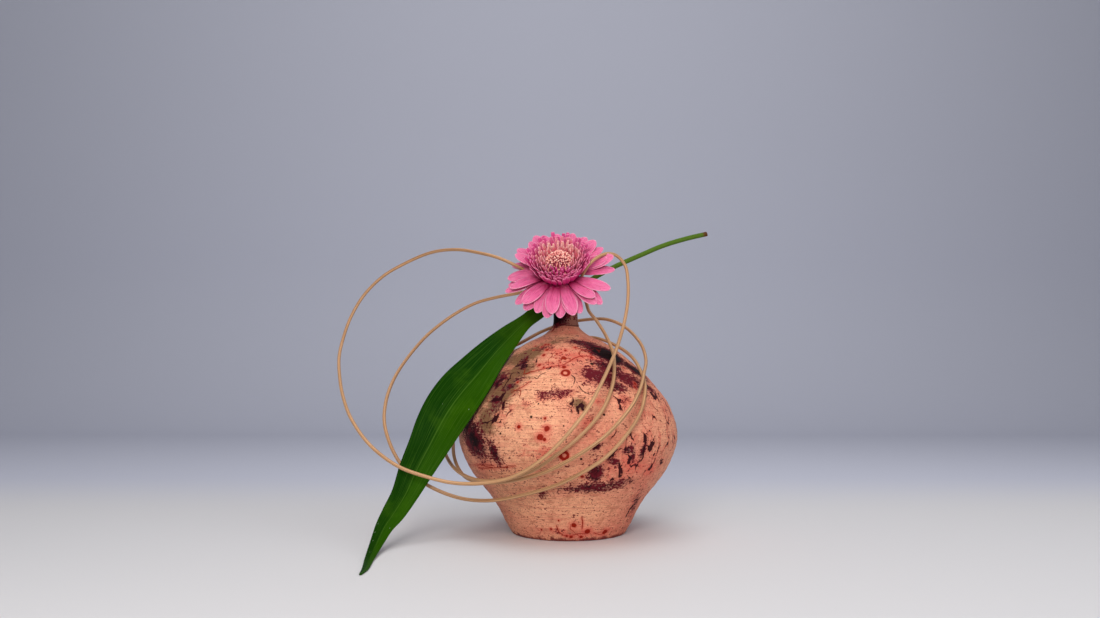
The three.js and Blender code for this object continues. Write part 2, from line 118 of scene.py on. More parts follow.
class Nodes:
    """Adds nodes to one node tree."""

    def __init__(self, tree: bpy.types.NodeTree) -> None:
        """Starts on a tree."""
        self.tree = tree

    def node(self, kind: str, settings: dict | None = None, sockets: dict | None = None) -> bpy.types.Node:
        """Adds one node.

        Args:
            kind: the node's type.
            settings: its own settings, such as a Math node's operation, which are set first.
            sockets: a value or a link for each input, by the input's name or number.

        Returns:
            The new node.
        """
        node = self.tree.nodes.new(kind)
        for name, value in (settings or {}).items():
            setattr(node, name, value)
        for key, value in (sockets or {}).items():
            self.feed(self.pick(node.inputs, key), value)
        return node

    def pick(self, sockets: bpy.types.bpy_prop_collection, key: str | int) -> bpy.types.NodeSocket:
        """The socket in use that has a name, or the one at a number."""
        used = [socket for socket in sockets if socket.enabled]
        return used[key] if isinstance(key, int) else next(s for s in used if s.name == key)

    def feed(self, socket: bpy.types.NodeSocket, value: Input) -> None:
        """Links a value to an input, or sets the input's own number.

        Args:
            socket: the input.
            value: what it gets.
        """
        if isinstance(value, Value):
            self.tree.links.new(value.socket, socket)
        elif isinstance(value, tuple) and socket.type == "RGBA" and len(value) == 3:
            socket.default_value = (*value, 1.0)
        else:
            socket.default_value = value

    def value(
        self, kind: str, settings: dict | None = None, sockets: dict | None = None, output: str | int = 0
    ) -> Value:
        """Adds one node and takes one output, by its name or by its number among those in use."""
        return Value(self, self.pick(self.node(kind, settings, sockets).outputs, output))

    def math(self, operation: str, *terms: Value | float) -> Value:
        """One Math node's result for its terms."""
        return self.value("ShaderNodeMath", {"operation": operation}, dict(enumerate(terms)))

    def vector_math(self, operation: str, *terms: Input) -> Value:
        """One Vector Math node's result for its terms."""
        return self.value("ShaderNodeVectorMath", {"operation": operation}, dict(enumerate(terms)))

    def combine(self, x: Value | float, y: Value | float, z: Value | float) -> Value:
        """A vector from three numbers."""
        return self.value("ShaderNodeCombineXYZ", None, {0: x, 1: y, 2: z})

    def part(self, vector: Value, axis: int) -> Value:
        """One number of a vector."""
        return self.value("ShaderNodeSeparateXYZ", None, {0: vector}, axis)

    def step(self, value: Value, low: float, high: float) -> Value:
        """0 below low and 1 above high, smooth between, and the other way round where low is the higher."""
        sockets = {"Value": value, "From Min": low, "From Max": high}
        return self.value("ShaderNodeMapRange", {"interpolation_type": "SMOOTHSTEP"}, sockets)

    def noise(self, place: Value, scale: float, detail: float = 3.0, roughness: float = 0.55) -> Value:
        """A noise at a place, which varies on both sides of 0."""
        sockets = {"Vector": place, "Scale": scale, "Detail": detail, "Roughness": roughness}
        return self.value("ShaderNodeTexNoise", None, sockets) - 0.5


class Surface(Nodes):
    """A material's node tree, and the patterns that the finishes share."""

    def __init__(self, name: str) -> None:
        """Makes an empty material, whose colour is laid on coat by coat.

        Args:
            name: the material's name.
        """
        self.colour: Input = (0.5, 0.5, 0.5)
        self.material = bpy.data.materials.new(name)
        self.material.use_nodes = True
        super().__init__(self.material.node_tree)
        self.tree.nodes.clear()

    def place(self) -> Value:
        """The place on the piece, in metres."""
        return self.value("ShaderNodeTexCoord", output="Object")

    def attribute(self, name: str) -> Value:
        """A number that the mesh holds at each point."""
        return self.value("ShaderNodeAttribute", {"attribute_name": name}, output=2)

    def stretched(self, place: Value, scale: tuple[float, float, float]) -> Value:
        """A place with its axes stretched."""
        return self.vector_math("MULTIPLY", place, scale)

    def mix(self, share: Value | float, low: Input, high: Input) -> Value:
        """A colour between two colours."""
        return self.value("ShaderNodeMix", {"data_type": "RGBA"}, {"Factor": share, "A": low, "B": high})

    def coat(self, over: Input, share: Value | float) -> None:
        """Lays a share of a colour over the surface's own."""
        self.colour = self.mix(share, self.colour, over)

    def lay(self, over: Input, share: float, value: Value, low: float, high: float) -> None:
        """Lays up to a share of a colour over the surface's own, as a value goes from low to high."""
        self.coat(over, share * self.step(value, low, high))

    def cells(self, place: Value, scale: float) -> tuple[Value, Value]:
        """The distance to the middle of the nearest cell, and that cell's own random number."""
        cell = self.node("ShaderNodeTexVoronoi", None, {"Vector": place, "Scale": scale})
        return Value(self, cell.outputs["Distance"]), self.part(Value(self, cell.outputs["Color"]), 0)

    def bump(self, height: Value, distance: float, strength: float) -> Value:
        """A normal that follows a height, whose whole range stands for a distance in metres."""
        sockets = {"Height": height, "Distance": distance, "Strength": strength}
        return self.value("ShaderNodeBump", None, sockets)

    def finish(
        self, roughness: Value, normal: Value, fixed: dict[str, Input] | None = None
    ) -> bpy.types.Material:
        """Ends the tree in its shader, with the colour that the coats have made.

        Args:
            roughness: how rough it is.
            normal: the bumped normal.
            fixed: numbers that are the same all over.

        Returns:
            The finished material.
        """
        sockets = {"Base Color": self.colour, "Roughness": roughness, "Normal": normal, **(fixed or {})}
        shader = self.value("ShaderNodeBsdfPrincipled", None, sockets)
        self.node("ShaderNodeOutputMaterial", None, {"Surface": shader})
        return self.material


class Recipe(Nodes):
    """A geometry tree with named inputs, which makes a mesh from a starting one."""

    def __init__(self, name: str) -> None:
        """Makes an empty tree whose first input is the starting geometry.

        Args:
            name: the tree's name.
        """
        super().__init__(bpy.data.node_groups.new(name, "GeometryNodeTree"))
        self.keys: dict[str, str] = {}
        self.tree.interface.new_socket("Geometry", in_out="OUTPUT", socket_type=Kind.GEOMETRY.value)
        self.source = self.tree.nodes.new("NodeGroupInput")
        self.start = self.input("Start", Kind.GEOMETRY)

    def input(self, name: str, kind: Kind = Kind.NUMBER) -> Value:
        """Adds one named input.

        Args:
            name: its name.
            kind: what it holds.

        Returns:
            Its value inside the tree.
        """
        item = self.tree.interface.new_socket(name, in_out="INPUT", socket_type=kind.value)
        self.keys[name] = item.identifier
        return Value(self, next(s for s in self.source.outputs if s.identifier == item.identifier))

    def inputs(self, *names: str, kind: Kind = Kind.NUMBER) -> list[Value]:
        """Adds several named inputs of one kind."""
        return [self.input(name, kind) for name in names]

    def held(self, name: str) -> Value:
        """A number stored at each point."""
        return self.value("GeometryNodeInputNamedAttribute", {"data_type": "FLOAT"}, {"Name": name})

    def store(self, geometry: Value, **numbers: Value) -> Value:
        """Stores numbers at each point.

        Args:
            geometry: the geometry.
            numbers: the numbers, by the names that they get.

        Returns:
            The geometry with the numbers.
        """
        for name, value in numbers.items():
            sockets = {"Geometry": geometry, "Name": name, "Value": value}
            geometry = self.value("GeometryNodeStoreNamedAttribute", {"data_type": "FLOAT"}, sockets)
        return geometry

    def jitter(self, item: Value, seed: Value, size: Value | float) -> Value:
        """A repeatable random number for each item, between minus and plus a size."""
        sockets = {"Min": -1.0, "Max": 1.0, "ID": item, "Seed": seed}
        return size * self.value("FunctionNodeRandomValue", None, sockets)

    def join(self, *geometries: Value) -> Value:
        """Joins geometries.

        Args:
            geometries: the geometries.

        Returns:
            Them all as one.
        """
        node = self.node("GeometryNodeJoinGeometry")
        for geometry in geometries:
            self.tree.links.new(geometry.socket, node.inputs[0])
        return Value(self, node.outputs[0])

    def moved(self, geometry: Value, position: Value) -> Value:
        """The geometry with its points at new places."""
        return self.value("GeometryNodeSetPosition", None, {"Geometry": geometry, "Position": position})

    def realized(self, geometry: Value) -> Value:
        """The geometry with its instances made real."""
        return self.value("GeometryNodeRealizeInstances", None, {"Geometry": geometry})

    def use(self, recipe: "Recipe", values: dict[str, Input]) -> Value:
        """Another recipe's geometry for some values of its inputs."""
        return self.value("GeometryNodeGroup", {"node_tree": recipe.tree}, values)

    def end(self, geometry: Value, material: Value | None = None) -> None:
        """Ends the tree.

        Args:
            geometry: what it gives.
            material: what that is made of, in a whole recipe; a part of one has none.
        """
        if material is not None:
            geometry = self.value("GeometryNodeSetShadeSmooth", None, {"Geometry": geometry})
            sockets = {"Geometry": self.realized(geometry), "Material": material}
            geometry = self.value("GeometryNodeSetMaterial", None, sockets)
        self.node("NodeGroupOutput", None, {0: geometry})

    def make(
        self, name: str, start: bpy.types.Mesh, values: dict[str, Input], wall: float = 0.0
    ) -> bpy.types.Object:
        """Runs the tree on a starting mesh.

        Args:
            name: the new piece's name.
            start: the mesh that the tree starts from.
            values: what the tree's named inputs get.
            wall: the thickness that a thin sheet is given afterwards, in metres.

        Returns:
            The piece, as a plain mesh with no modifier.
        """
        worker = linked(name + "_start", start)
        modifier = worker.modifiers.new("recipe", "NODES")
        modifier.node_group = self.tree
        for key, value in values.items():
            modifier[self.keys[key]] = value
        if wall:
            solidify = worker.modifiers.new("wall", "SOLIDIFY")
            solidify.thickness = wall
            solidify.offset = 0.0
        return baked(name, worker)


def linked(name: str, data: bpy.types.ID) -> bpy.types.Object:
    """Makes an object and puts it in the scene.

    Args:
        name: its name.
        data: its mesh, light or camera.

    Returns:
        The object.
    """
    thing = bpy.data.objects.new(name, data)
    bpy.context.scene.collection.objects.link(thing)
    return thing


def baked(name: str, worker: bpy.types.Object) -> bpy.types.Object:
    """Turns an object with modifiers into a plain mesh piece, and removes that object.

    Args:
        name: the new piece's name.
        worker: the object with its modifiers.

    Returns:
        The plain piece.
    """
    graph = bpy.context.evaluated_depsgraph_get()
    mesh = bpy.data.meshes.new_from_object(
        worker.evaluated_get(graph), preserve_all_data_layers=True, depsgraph=graph
    )
    bpy.data.objects.remove(worker)
    mesh.name = name
    return linked(name, mesh)


def mesh_of(
    name: str, points: np.ndarray, faces: list, numbers: dict[str, np.ndarray] | None = None
) -> bpy.types.Mesh:
    """Makes a smooth mesh.

    Args:
        name: the mesh's name.
        points: its points, in metres.
        faces: the point numbers of each face.
        numbers: numbers for each point, by name.

    Returns:
        The mesh.
    """
    mesh = bpy.data.meshes.new(name)
    mesh.from_pydata(points.tolist(), [], faces)
    for key, values in (numbers or {}).items():
        mesh.attributes.new(key, "FLOAT", "POINT").data.foreach_set("value", values.astype(np.float32))
    mesh.polygons.foreach_set("use_smooth", [True] * len(mesh.polygons))
    mesh.update()
    return mesh


def path_mesh(name: str, points: np.ndarray) -> bpy.types.Mesh:
    """Makes a mesh of edges along a path.

    Args:
        name: the mesh's name.
        points: the path's points, in metres.

    Returns:
        The mesh.
    """
    mesh = bpy.data.meshes.new(name)
    mesh.from_pydata(points.tolist(), [(k, k + 1) for k in range(len(points) - 1)], [])
    return mesh


def root_gap(a: np.ndarray, b: np.ndarray) -> np.ndarray:
    """The square root of the distance between points."""
    return np.sqrt(np.linalg.norm(a - b, axis=1))[:, None]


def unit(vectors: np.ndarray) -> np.ndarray:
    """Vectors of length 1 in the same directions."""
    return vectors / np.linalg.norm(vectors, axis=1)[:, None]


def run_along(points: np.ndarray) -> np.ndarray:
    """How far along a path each of its points is."""
    return np.concatenate([[0], np.cumsum(np.linalg.norm(np.diff(points, axis=0), axis=1))])


def with_neighbours(first: np.ndarray, inner: np.ndarray, last: np.ndarray) -> list[np.ndarray]:
    """For each gap between knots: the knot before it, its start, its end and the knot after it."""
    points = np.vstack([first, inner, last])
    return [points[k : len(points) - 3 + k] for k in range(4)]


def spans(
    start: np.ndarray, end: np.ndarray, leave: np.ndarray, arrive: np.ndarray, steps: int
) -> np.ndarray:
    """Points on a row of cubic spans.

    Args:
        start: where each span starts.
        end: where each span ends.
        leave: each span's slope at its start.
        arrive: each span's slope at its end.
        steps: how many steps each span gets.

    Returns:
        The points, from the first span's start to the last one's end.
    """
    last = end[-1:]
    u = np.linspace(0, 1, steps, endpoint=False)[None, :, None]
    start, end, leave, arrive = (a[:, None, :] for a in (start, end, leave, arrive))
    square = (3 * (end - start) - 2 * leave - arrive) * u**2
    cube = (2 * (start - end) + leave + arrive) * u**3
    return np.vstack([(start + leave * u + square + cube).reshape(-1, last.shape[1]), last])


def smooth_route(knots: Knots, steps: int) -> np.ndarray:
    """Points on the smooth curve through some knots, however unevenly these are spaced.

    Args:
        knots: the knots, in millimetres.
        steps: how many steps each gap between two knots gets.

    Returns:
        The points, in metres.
    """
    inner = np.array(knots, float) * MM
    first, last = 2 * inner[0] - inner[1], 2 * inner[-1] - inner[-2]
    before, start, end, after = with_neighbours(first, inner, last)
    d0, d1, d2 = root_gap(before, start), root_gap(start, end), root_gap(end, after)
    leave = ((start - before) / d0 - (end - before) / (d0 + d1) + (end - start) / d1) * d1
    arrive = ((end - start) / d1 - (after - start) / (d1 + d2) + (after - end) / d2) * d1
    return spans(start, end, leave, arrive, steps)


def smooth_outline(knots: Outline, steps: int) -> np.ndarray:
    """Points on the even curve through an outline's knots.

    Args:
        knots: the knots, in millimetres.
        steps: how many steps each gap between two knots gets.

    Returns:
        The points, in metres.
    """
    inner = np.array(knots, float) * MM
    before, start, end, after = with_neighbours(inner[:1], inner, inner[-1:])
    return spans(start, end, (end - before) / 2, (after - start) / 2, steps)


def turned(profile: np.ndarray, sides: int) -> tuple[np.ndarray, list]:
    """Turns a profile about the vertical axis.

    Args:
        profile: radius and height of each ring, outside upwards; a radius of 0 makes a pole.
        sides: how many points each ring gets.

    Returns:
        The points and the faces.
    """
    angles = np.arange(sides) * 2 * np.pi / sides
    points, rings = [], []
    for radius, height in profile:
        count = sides if radius > 0 else 1
        rings.append((len(points), count))
        points += [(radius * math.cos(a), radius * math.sin(a), height) for a in angles[:count]]
    faces = []
    for (low, low_count), (high, high_count) in zip(rings, rings[1:]):
        for k in range(sides):
            n = (k + 1) % sides
            if low_count == 1:
                faces.append((low, high + n, high + k))
            elif high_count == 1:
                faces.append((low + k, low + n, high))
            else:
                faces.append((low + k, low + n, high + n, high + k))
    return np.array(points), faces


def dress(piece: bpy.types.Object, slot: str, *nodes: str) -> bpy.types.Object:
    """Puts a finished piece in the frame.

    Args:
        piece: the piece.
        slot: the name of a material slot; not used.
        nodes: the solids that it stands for.

    Returns:
        The piece.
    """
    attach(piece, "root")
    if nodes:
        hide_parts(*nodes)
    return piece


class Mark(Enum):
    """The kinds of mark on the clay: most are what the fire leaves; the greenish-brown ones are partly a
    stain and partly the leaf's painted shadow and green reflection.
    """

    SMOKE = "smoke"
    SPECKLE = "speckle"
    # Partly a greenish-brown stain and partly the leaf's painted shadow and green reflection.
    OLIVE_STAIN_AND_LEAF_SHADOW = "olive"
    STROKE = "stroke"
    BLUSH = "blush"
    CREAM = "cream"
    CRACK = "crack"


class Drawn(Enum):
    """The kinds of fired line."""

    VEIN = "vein"
    INK = "ink"


@dataclass(frozen=True)
class Patch:
    """A soft-edged patch of one kind of mark on the vase.

    Its middle is a bearing in degrees and a height in millimetres. Its half sizes, in
    millimetres, are along and across a direction that is turned up from level.
    """

    bearing: float
    height: float
    wide: float
    tall: float
    turn: float = 0.0
    strength: float = 1.0


@dataclass(frozen=True)
class Line:
    """A fired line on the vase: half its width in millimetres, and its bends as bearing and height."""

    width: float
    bends: list[tuple[float, float]]


class ClaySkin(Surface):
    """The clay's node tree, with the noises that its colours and marks share."""

    def __init__(self) -> None:
        """Makes the empty clay and its noises, from the widest to the finest."""
        super().__init__("fired_clay")
        self.spot = self.place()
        self.cloud = self.noise(self.spot, 28.0)
        self.coarse = self.noise(self.spot, 150.0, 4.0, 0.65)
        self.grain = self.noise(self.spot, 420.0, 4.0, 0.7)
        self.fine = self.noise(self.spot, 950.0, 2.0, 0.6)
        self.lines = self.noise(self.stretched(self.spot, (22.0, 22.0, 900.0)), 1.0, 3.0, 0.6)
        self.streak = self.noise(self.stretched(self.spot, (110.0, 110.0, 1300.0)), 1.0, 3.0, 0.65)
        self.rough = 1.5 * self.coarse + 1.8 * self.grain + 1.4 * self.streak
        loose = self.noise(self.stretched(self.spot, (1.3, 1.3, 0.8)), 70.0, 2.0, 0.4)
        self.off_scribble = self.off_zero(loose)

    def off_zero(self, value: Value) -> Value:
        """How far a value is from 0."""
        return self.math("ABSOLUTE", value)

    def mark(self, kind: Mark) -> Value:
        """How strong a kind of mark is."""
        return self.attribute(kind.value)

    def off_line(self, kind: Drawn, end: float = 0.45) -> Value:
        """How far a point is from the middle of a line, in half widths, ending where the line does."""
        across = self.off_zero(self.attribute(kind.value + "_side"))
        return self.math("MAXIMUM", across, self.attribute(kind.value + "_near") - end)

    def off_spots(self, spots: Spots, sharpness: float = 0.0) -> Value:
        """How far a place is from the nearest spot's middle, in its radii, or from its circle.

        Args:
            spots: the middle and radius of each spot.
            sharpness: 0 for a full spot; for a ring, how many ring widths its radius holds.

        Returns:
            The distance.
        """
        near: Value | float = FAR
        for middle, radius in spots:
            off = self.vector_math("DISTANCE", self.spot, tuple(middle)) * (1 / radius)
            if sharpness:
                off = self.off_zero(off - 1.0) * sharpness
            near = self.math("MINIMUM", off, near)
        return near


@dataclass(frozen=True)
class ClayFinish:
    """Satin fired clay, salmon and cream, with smoky, scratched and oxblood firing marks, and the leaf's
    shadow and green reflection painted on beside it.
    """

    salmon: Colour = (0.73, 0.318, 0.195)
    cream: Colour = (0.80, 0.39, 0.228)
    rose: Colour = (0.62, 0.190, 0.125)
    umber: Colour = (0.36, 0.125, 0.070)
    haze: Colour = (0.145, 0.044, 0.048)
    smoke: Colour = (0.021, 0.003, 0.006)
    char: Colour = (0.006, 0.0015, 0.002)
    crimson: Colour = (0.115, 0.008, 0.014)
    # The greenish-brown stain's colour, which also paints the leaf's shadow and green reflection on the
    # clay.
    olive: Colour = (0.110, 0.065, 0.027)
    blush: Colour = (0.60, 0.105, 0.075)
    oxblood: Colour = (0.24, 0.009, 0.003)
    ink: Colour = (0.026, 0.003, 0.006)
    taupe: Colour = (0.27, 0.122, 0.088)
    relief: float = 0.7 * MM
    gloss: float = 0.04

    def material(self, dots: Spots, rings: Spots, ink_dots: Spots) -> bpy.types.Material:
        """Makes the clay.

        Args:
            dots: the middle and radius of each oxblood dot, in metres.
            rings: the middle and radius of each oxblood ring.
            ink_dots: the middle and radius of each black dot.

        Returns:
            The material.
        """
        s = ClaySkin()
        self.clay(s)
        self.strip(s)
        self.reddened(s)
        char = self.smoked(s)
        self.specks(s)
        stroke = self.strokes(s)
        burst = self.bursts(s, dots, rings, ink_dots)
        foot = s.part(s.spot, 2) + 0.010 * s.coarse + 0.006 * s.grain
        s.lay(self.crimson, 0.85, foot, 0.0035, 0.0005)
        roughness = 0.52 + 0.16 * s.grain - 0.12 * char - 0.12 * burst
        height = 0.5 * s.lines + 0.25 * s.coarse + 0.25 * s.grain - 0.25 * stroke + 0.25 * burst
        return s.finish(roughness, s.bump(height, self.relief, 0.7), {"Specular IOR Level": self.gloss})

    def clay(self, s: ClaySkin) -> None:
        """Lays the plain clay, whose coats each have a share, a noise and the two ends of its rise.

        Args:
            s: the surface.
        """
        s.colour = s.mix(s.step(s.cloud, -0.15, 0.18), self.salmon, self.rose)
        s.lay(self.cream, 1.0, s.mark(Mark.CREAM) + 0.6 * s.cloud, 0.15, 0.8)
        coats = (
            (self.cream, 0.55, s.coarse, 0.0, 0.15),
            (self.umber, 0.58, s.coarse, -0.01, -0.16),
            (self.rose, 0.50, s.lines, -0.02, 0.14),
            (self.umber, 0.50, s.streak, 0.04, 0.16),
            (self.umber, 0.50, s.grain, -0.06, -0.18),
            (self.umber, 0.38, s.fine, 0.04, 0.14),
        )
        for coat in coats:
            s.lay(*coat)

    def strip(self, s: ClaySkin) -> None:
        """Darkens the strip round the neck, and its edge most.

        Args:
            s: the surface.
        """
        inside = s.attribute("wrap") + 0.8 * s.coarse
        s.lay(self.taupe, 0.9, inside, -0.3, 0.3)
        s.lay(self.smoke, 0.8, s.off_zero(inside), 0.9, 0.2)

    def reddened(self, s: ClaySkin) -> None:
        """Adds the blushes, and reddens the clay among the speckle and beside the lines.

        Args:
            s: the surface.
        """
        region = s.mark(Mark.STROKE)
        scribbled = s.step(s.off_scribble - 0.05 * region, 0.06, 0.0) * s.step(region, 0.1, 0.6)
        s.lay(self.blush, 0.8, s.mark(Mark.BLUSH) + s.rough, 0.25, 1.0)
        s.lay(self.blush, 0.45, s.mark(Mark.SPECKLE) + s.rough, 0.4, 1.1)
        s.coat(self.blush, 0.4 * scribbled)
        s.lay(self.blush, 0.45, s.attribute("vein_near") + 2.0 * s.coarse, 3.0, 0.8)

    def smoked(self, s: ClaySkin) -> Value:
        """Adds the greenish-brown patches, partly a stain and partly the leaf's painted shadow and green
        reflection, then the smoke with its haze and its charred middle, and the speckle.

        Args:
            s: the surface.

        Returns:
            How charred the clay is.
        """
        region = s.mark(Mark.SMOKE)
        # Painted shadow and green reflection of the leaf, mixed with a greenish-brown stain, laid where
        # those patches are.
        s.lay(self.olive, 0.85, s.mark(Mark.OLIVE_STAIN_AND_LEAF_SHADOW) + 0.7 * s.rough, 0.1, 0.9)
        s.lay(self.haze, 0.90, region + 0.7 * s.rough, 0.12, 0.70)
        soot = s.mix(s.step(0.5 * s.grain + 0.5 * s.coarse, -0.04, 0.06), self.smoke, self.crimson)
        s.lay(soot, 0.98, region + 0.9 * s.rough + 1.8 * s.grain + 0.8 * s.fine, 0.40, 0.56)
        char = s.step(region + 0.8 * s.grain, 1.0, 1.2)
        s.coat(self.char, 0.99 * char)
        speckle = s.fine + 0.9 * s.grain + 0.9 * s.coarse + 0.6 * s.streak + 0.24 * s.mark(Mark.SPECKLE)
        s.lay(self.crimson, 0.96, speckle, 0.30, 0.35)
        return char

    def specks(self, s: ClaySkin) -> None:
        """Adds the tiny scattered specks, each kind with a scale, a size, its rareness and a colour.

        Args:
            s: the surface.
        """
        patchy = s.noise(s.spot, 55.0, 2.0)
        sizes = ((150.0, 0.11, 0.74, self.ink), (330.0, 0.19, 0.48, self.crimson))
        for scale, size, rare, kind in sizes:
            off, chance = s.cells(s.spot, scale)
            often = s.step(chance + 0.8 * patchy, rare, rare + 0.05)
            s.coat(kind, 0.93 * s.step(off - size * chance, 0.02, -0.02) * often)

    def strokes(self, s: ClaySkin) -> Value:
        """Adds the dark scribbles, the oxblood veins and the fine cracks.

        Args:
            s: the surface.

        Returns:
            How much of a stroke there is.
        """
        region = s.mark(Mark.STROKE)
        thick = 0.055 * region * s.step(s.noise(s.spot, 110.0, 2.0), -0.08, 0.12)
        loose = s.step(s.off_scribble - thick + 0.10 * s.grain + 0.04 * s.coarse, 0.006, -0.006)
        loose = loose * s.step(region, 0.15, 0.5)
        crack = s.step(s.off_zero(s.noise(s.spot, 24.0)), 0.009, 0.003)
        crack = crack * s.step(s.mark(Mark.CRACK) + 0.5 * s.coarse, 0.2, 0.45)
        fray = 2.4 * s.grain + 2.2 * s.coarse
        stroke = s.math("MAXIMUM", loose, s.step(s.off_line(Drawn.INK) + 0.8 * fray, 1.15, 0.85))
        vein = s.math("MAXIMUM", crack, s.step(s.off_line(Drawn.VEIN) + 0.35 * fray, 1.15, 0.8))
        s.coat(self.ink, 0.97 * stroke)
        s.coat(self.oxblood, 0.95 * vein)
        return s.math("MAXIMUM", stroke, vein)

    def bursts(self, s: ClaySkin, dots: Spots, rings: Spots, ink_dots: Spots) -> Value:
        """Adds the oxblood dots and rings, each with its red halo, and the black dots.

        Args:
            s: the surface.
            dots: the middle and radius of each oxblood dot.
            rings: the middle and radius of each oxblood ring.
            ink_dots: the middle and radius of each black dot.

        Returns:
            How much of a dot or ring there is.
        """
        bent = 1.2 * s.coarse + 0.5 * s.grain
        off = s.math("MINIMUM", s.off_spots(dots), s.off_spots(rings, 2.4)) + bent
        core = s.step(off, 1.1, 0.8)
        s.lay(self.blush, 0.6, off, 2.6, 0.9)
        s.coat(self.oxblood, 0.97 * core)
        s.lay(self.char, 0.95, s.off_spots(ink_dots) + bent, 1.1, 0.85)
        return core


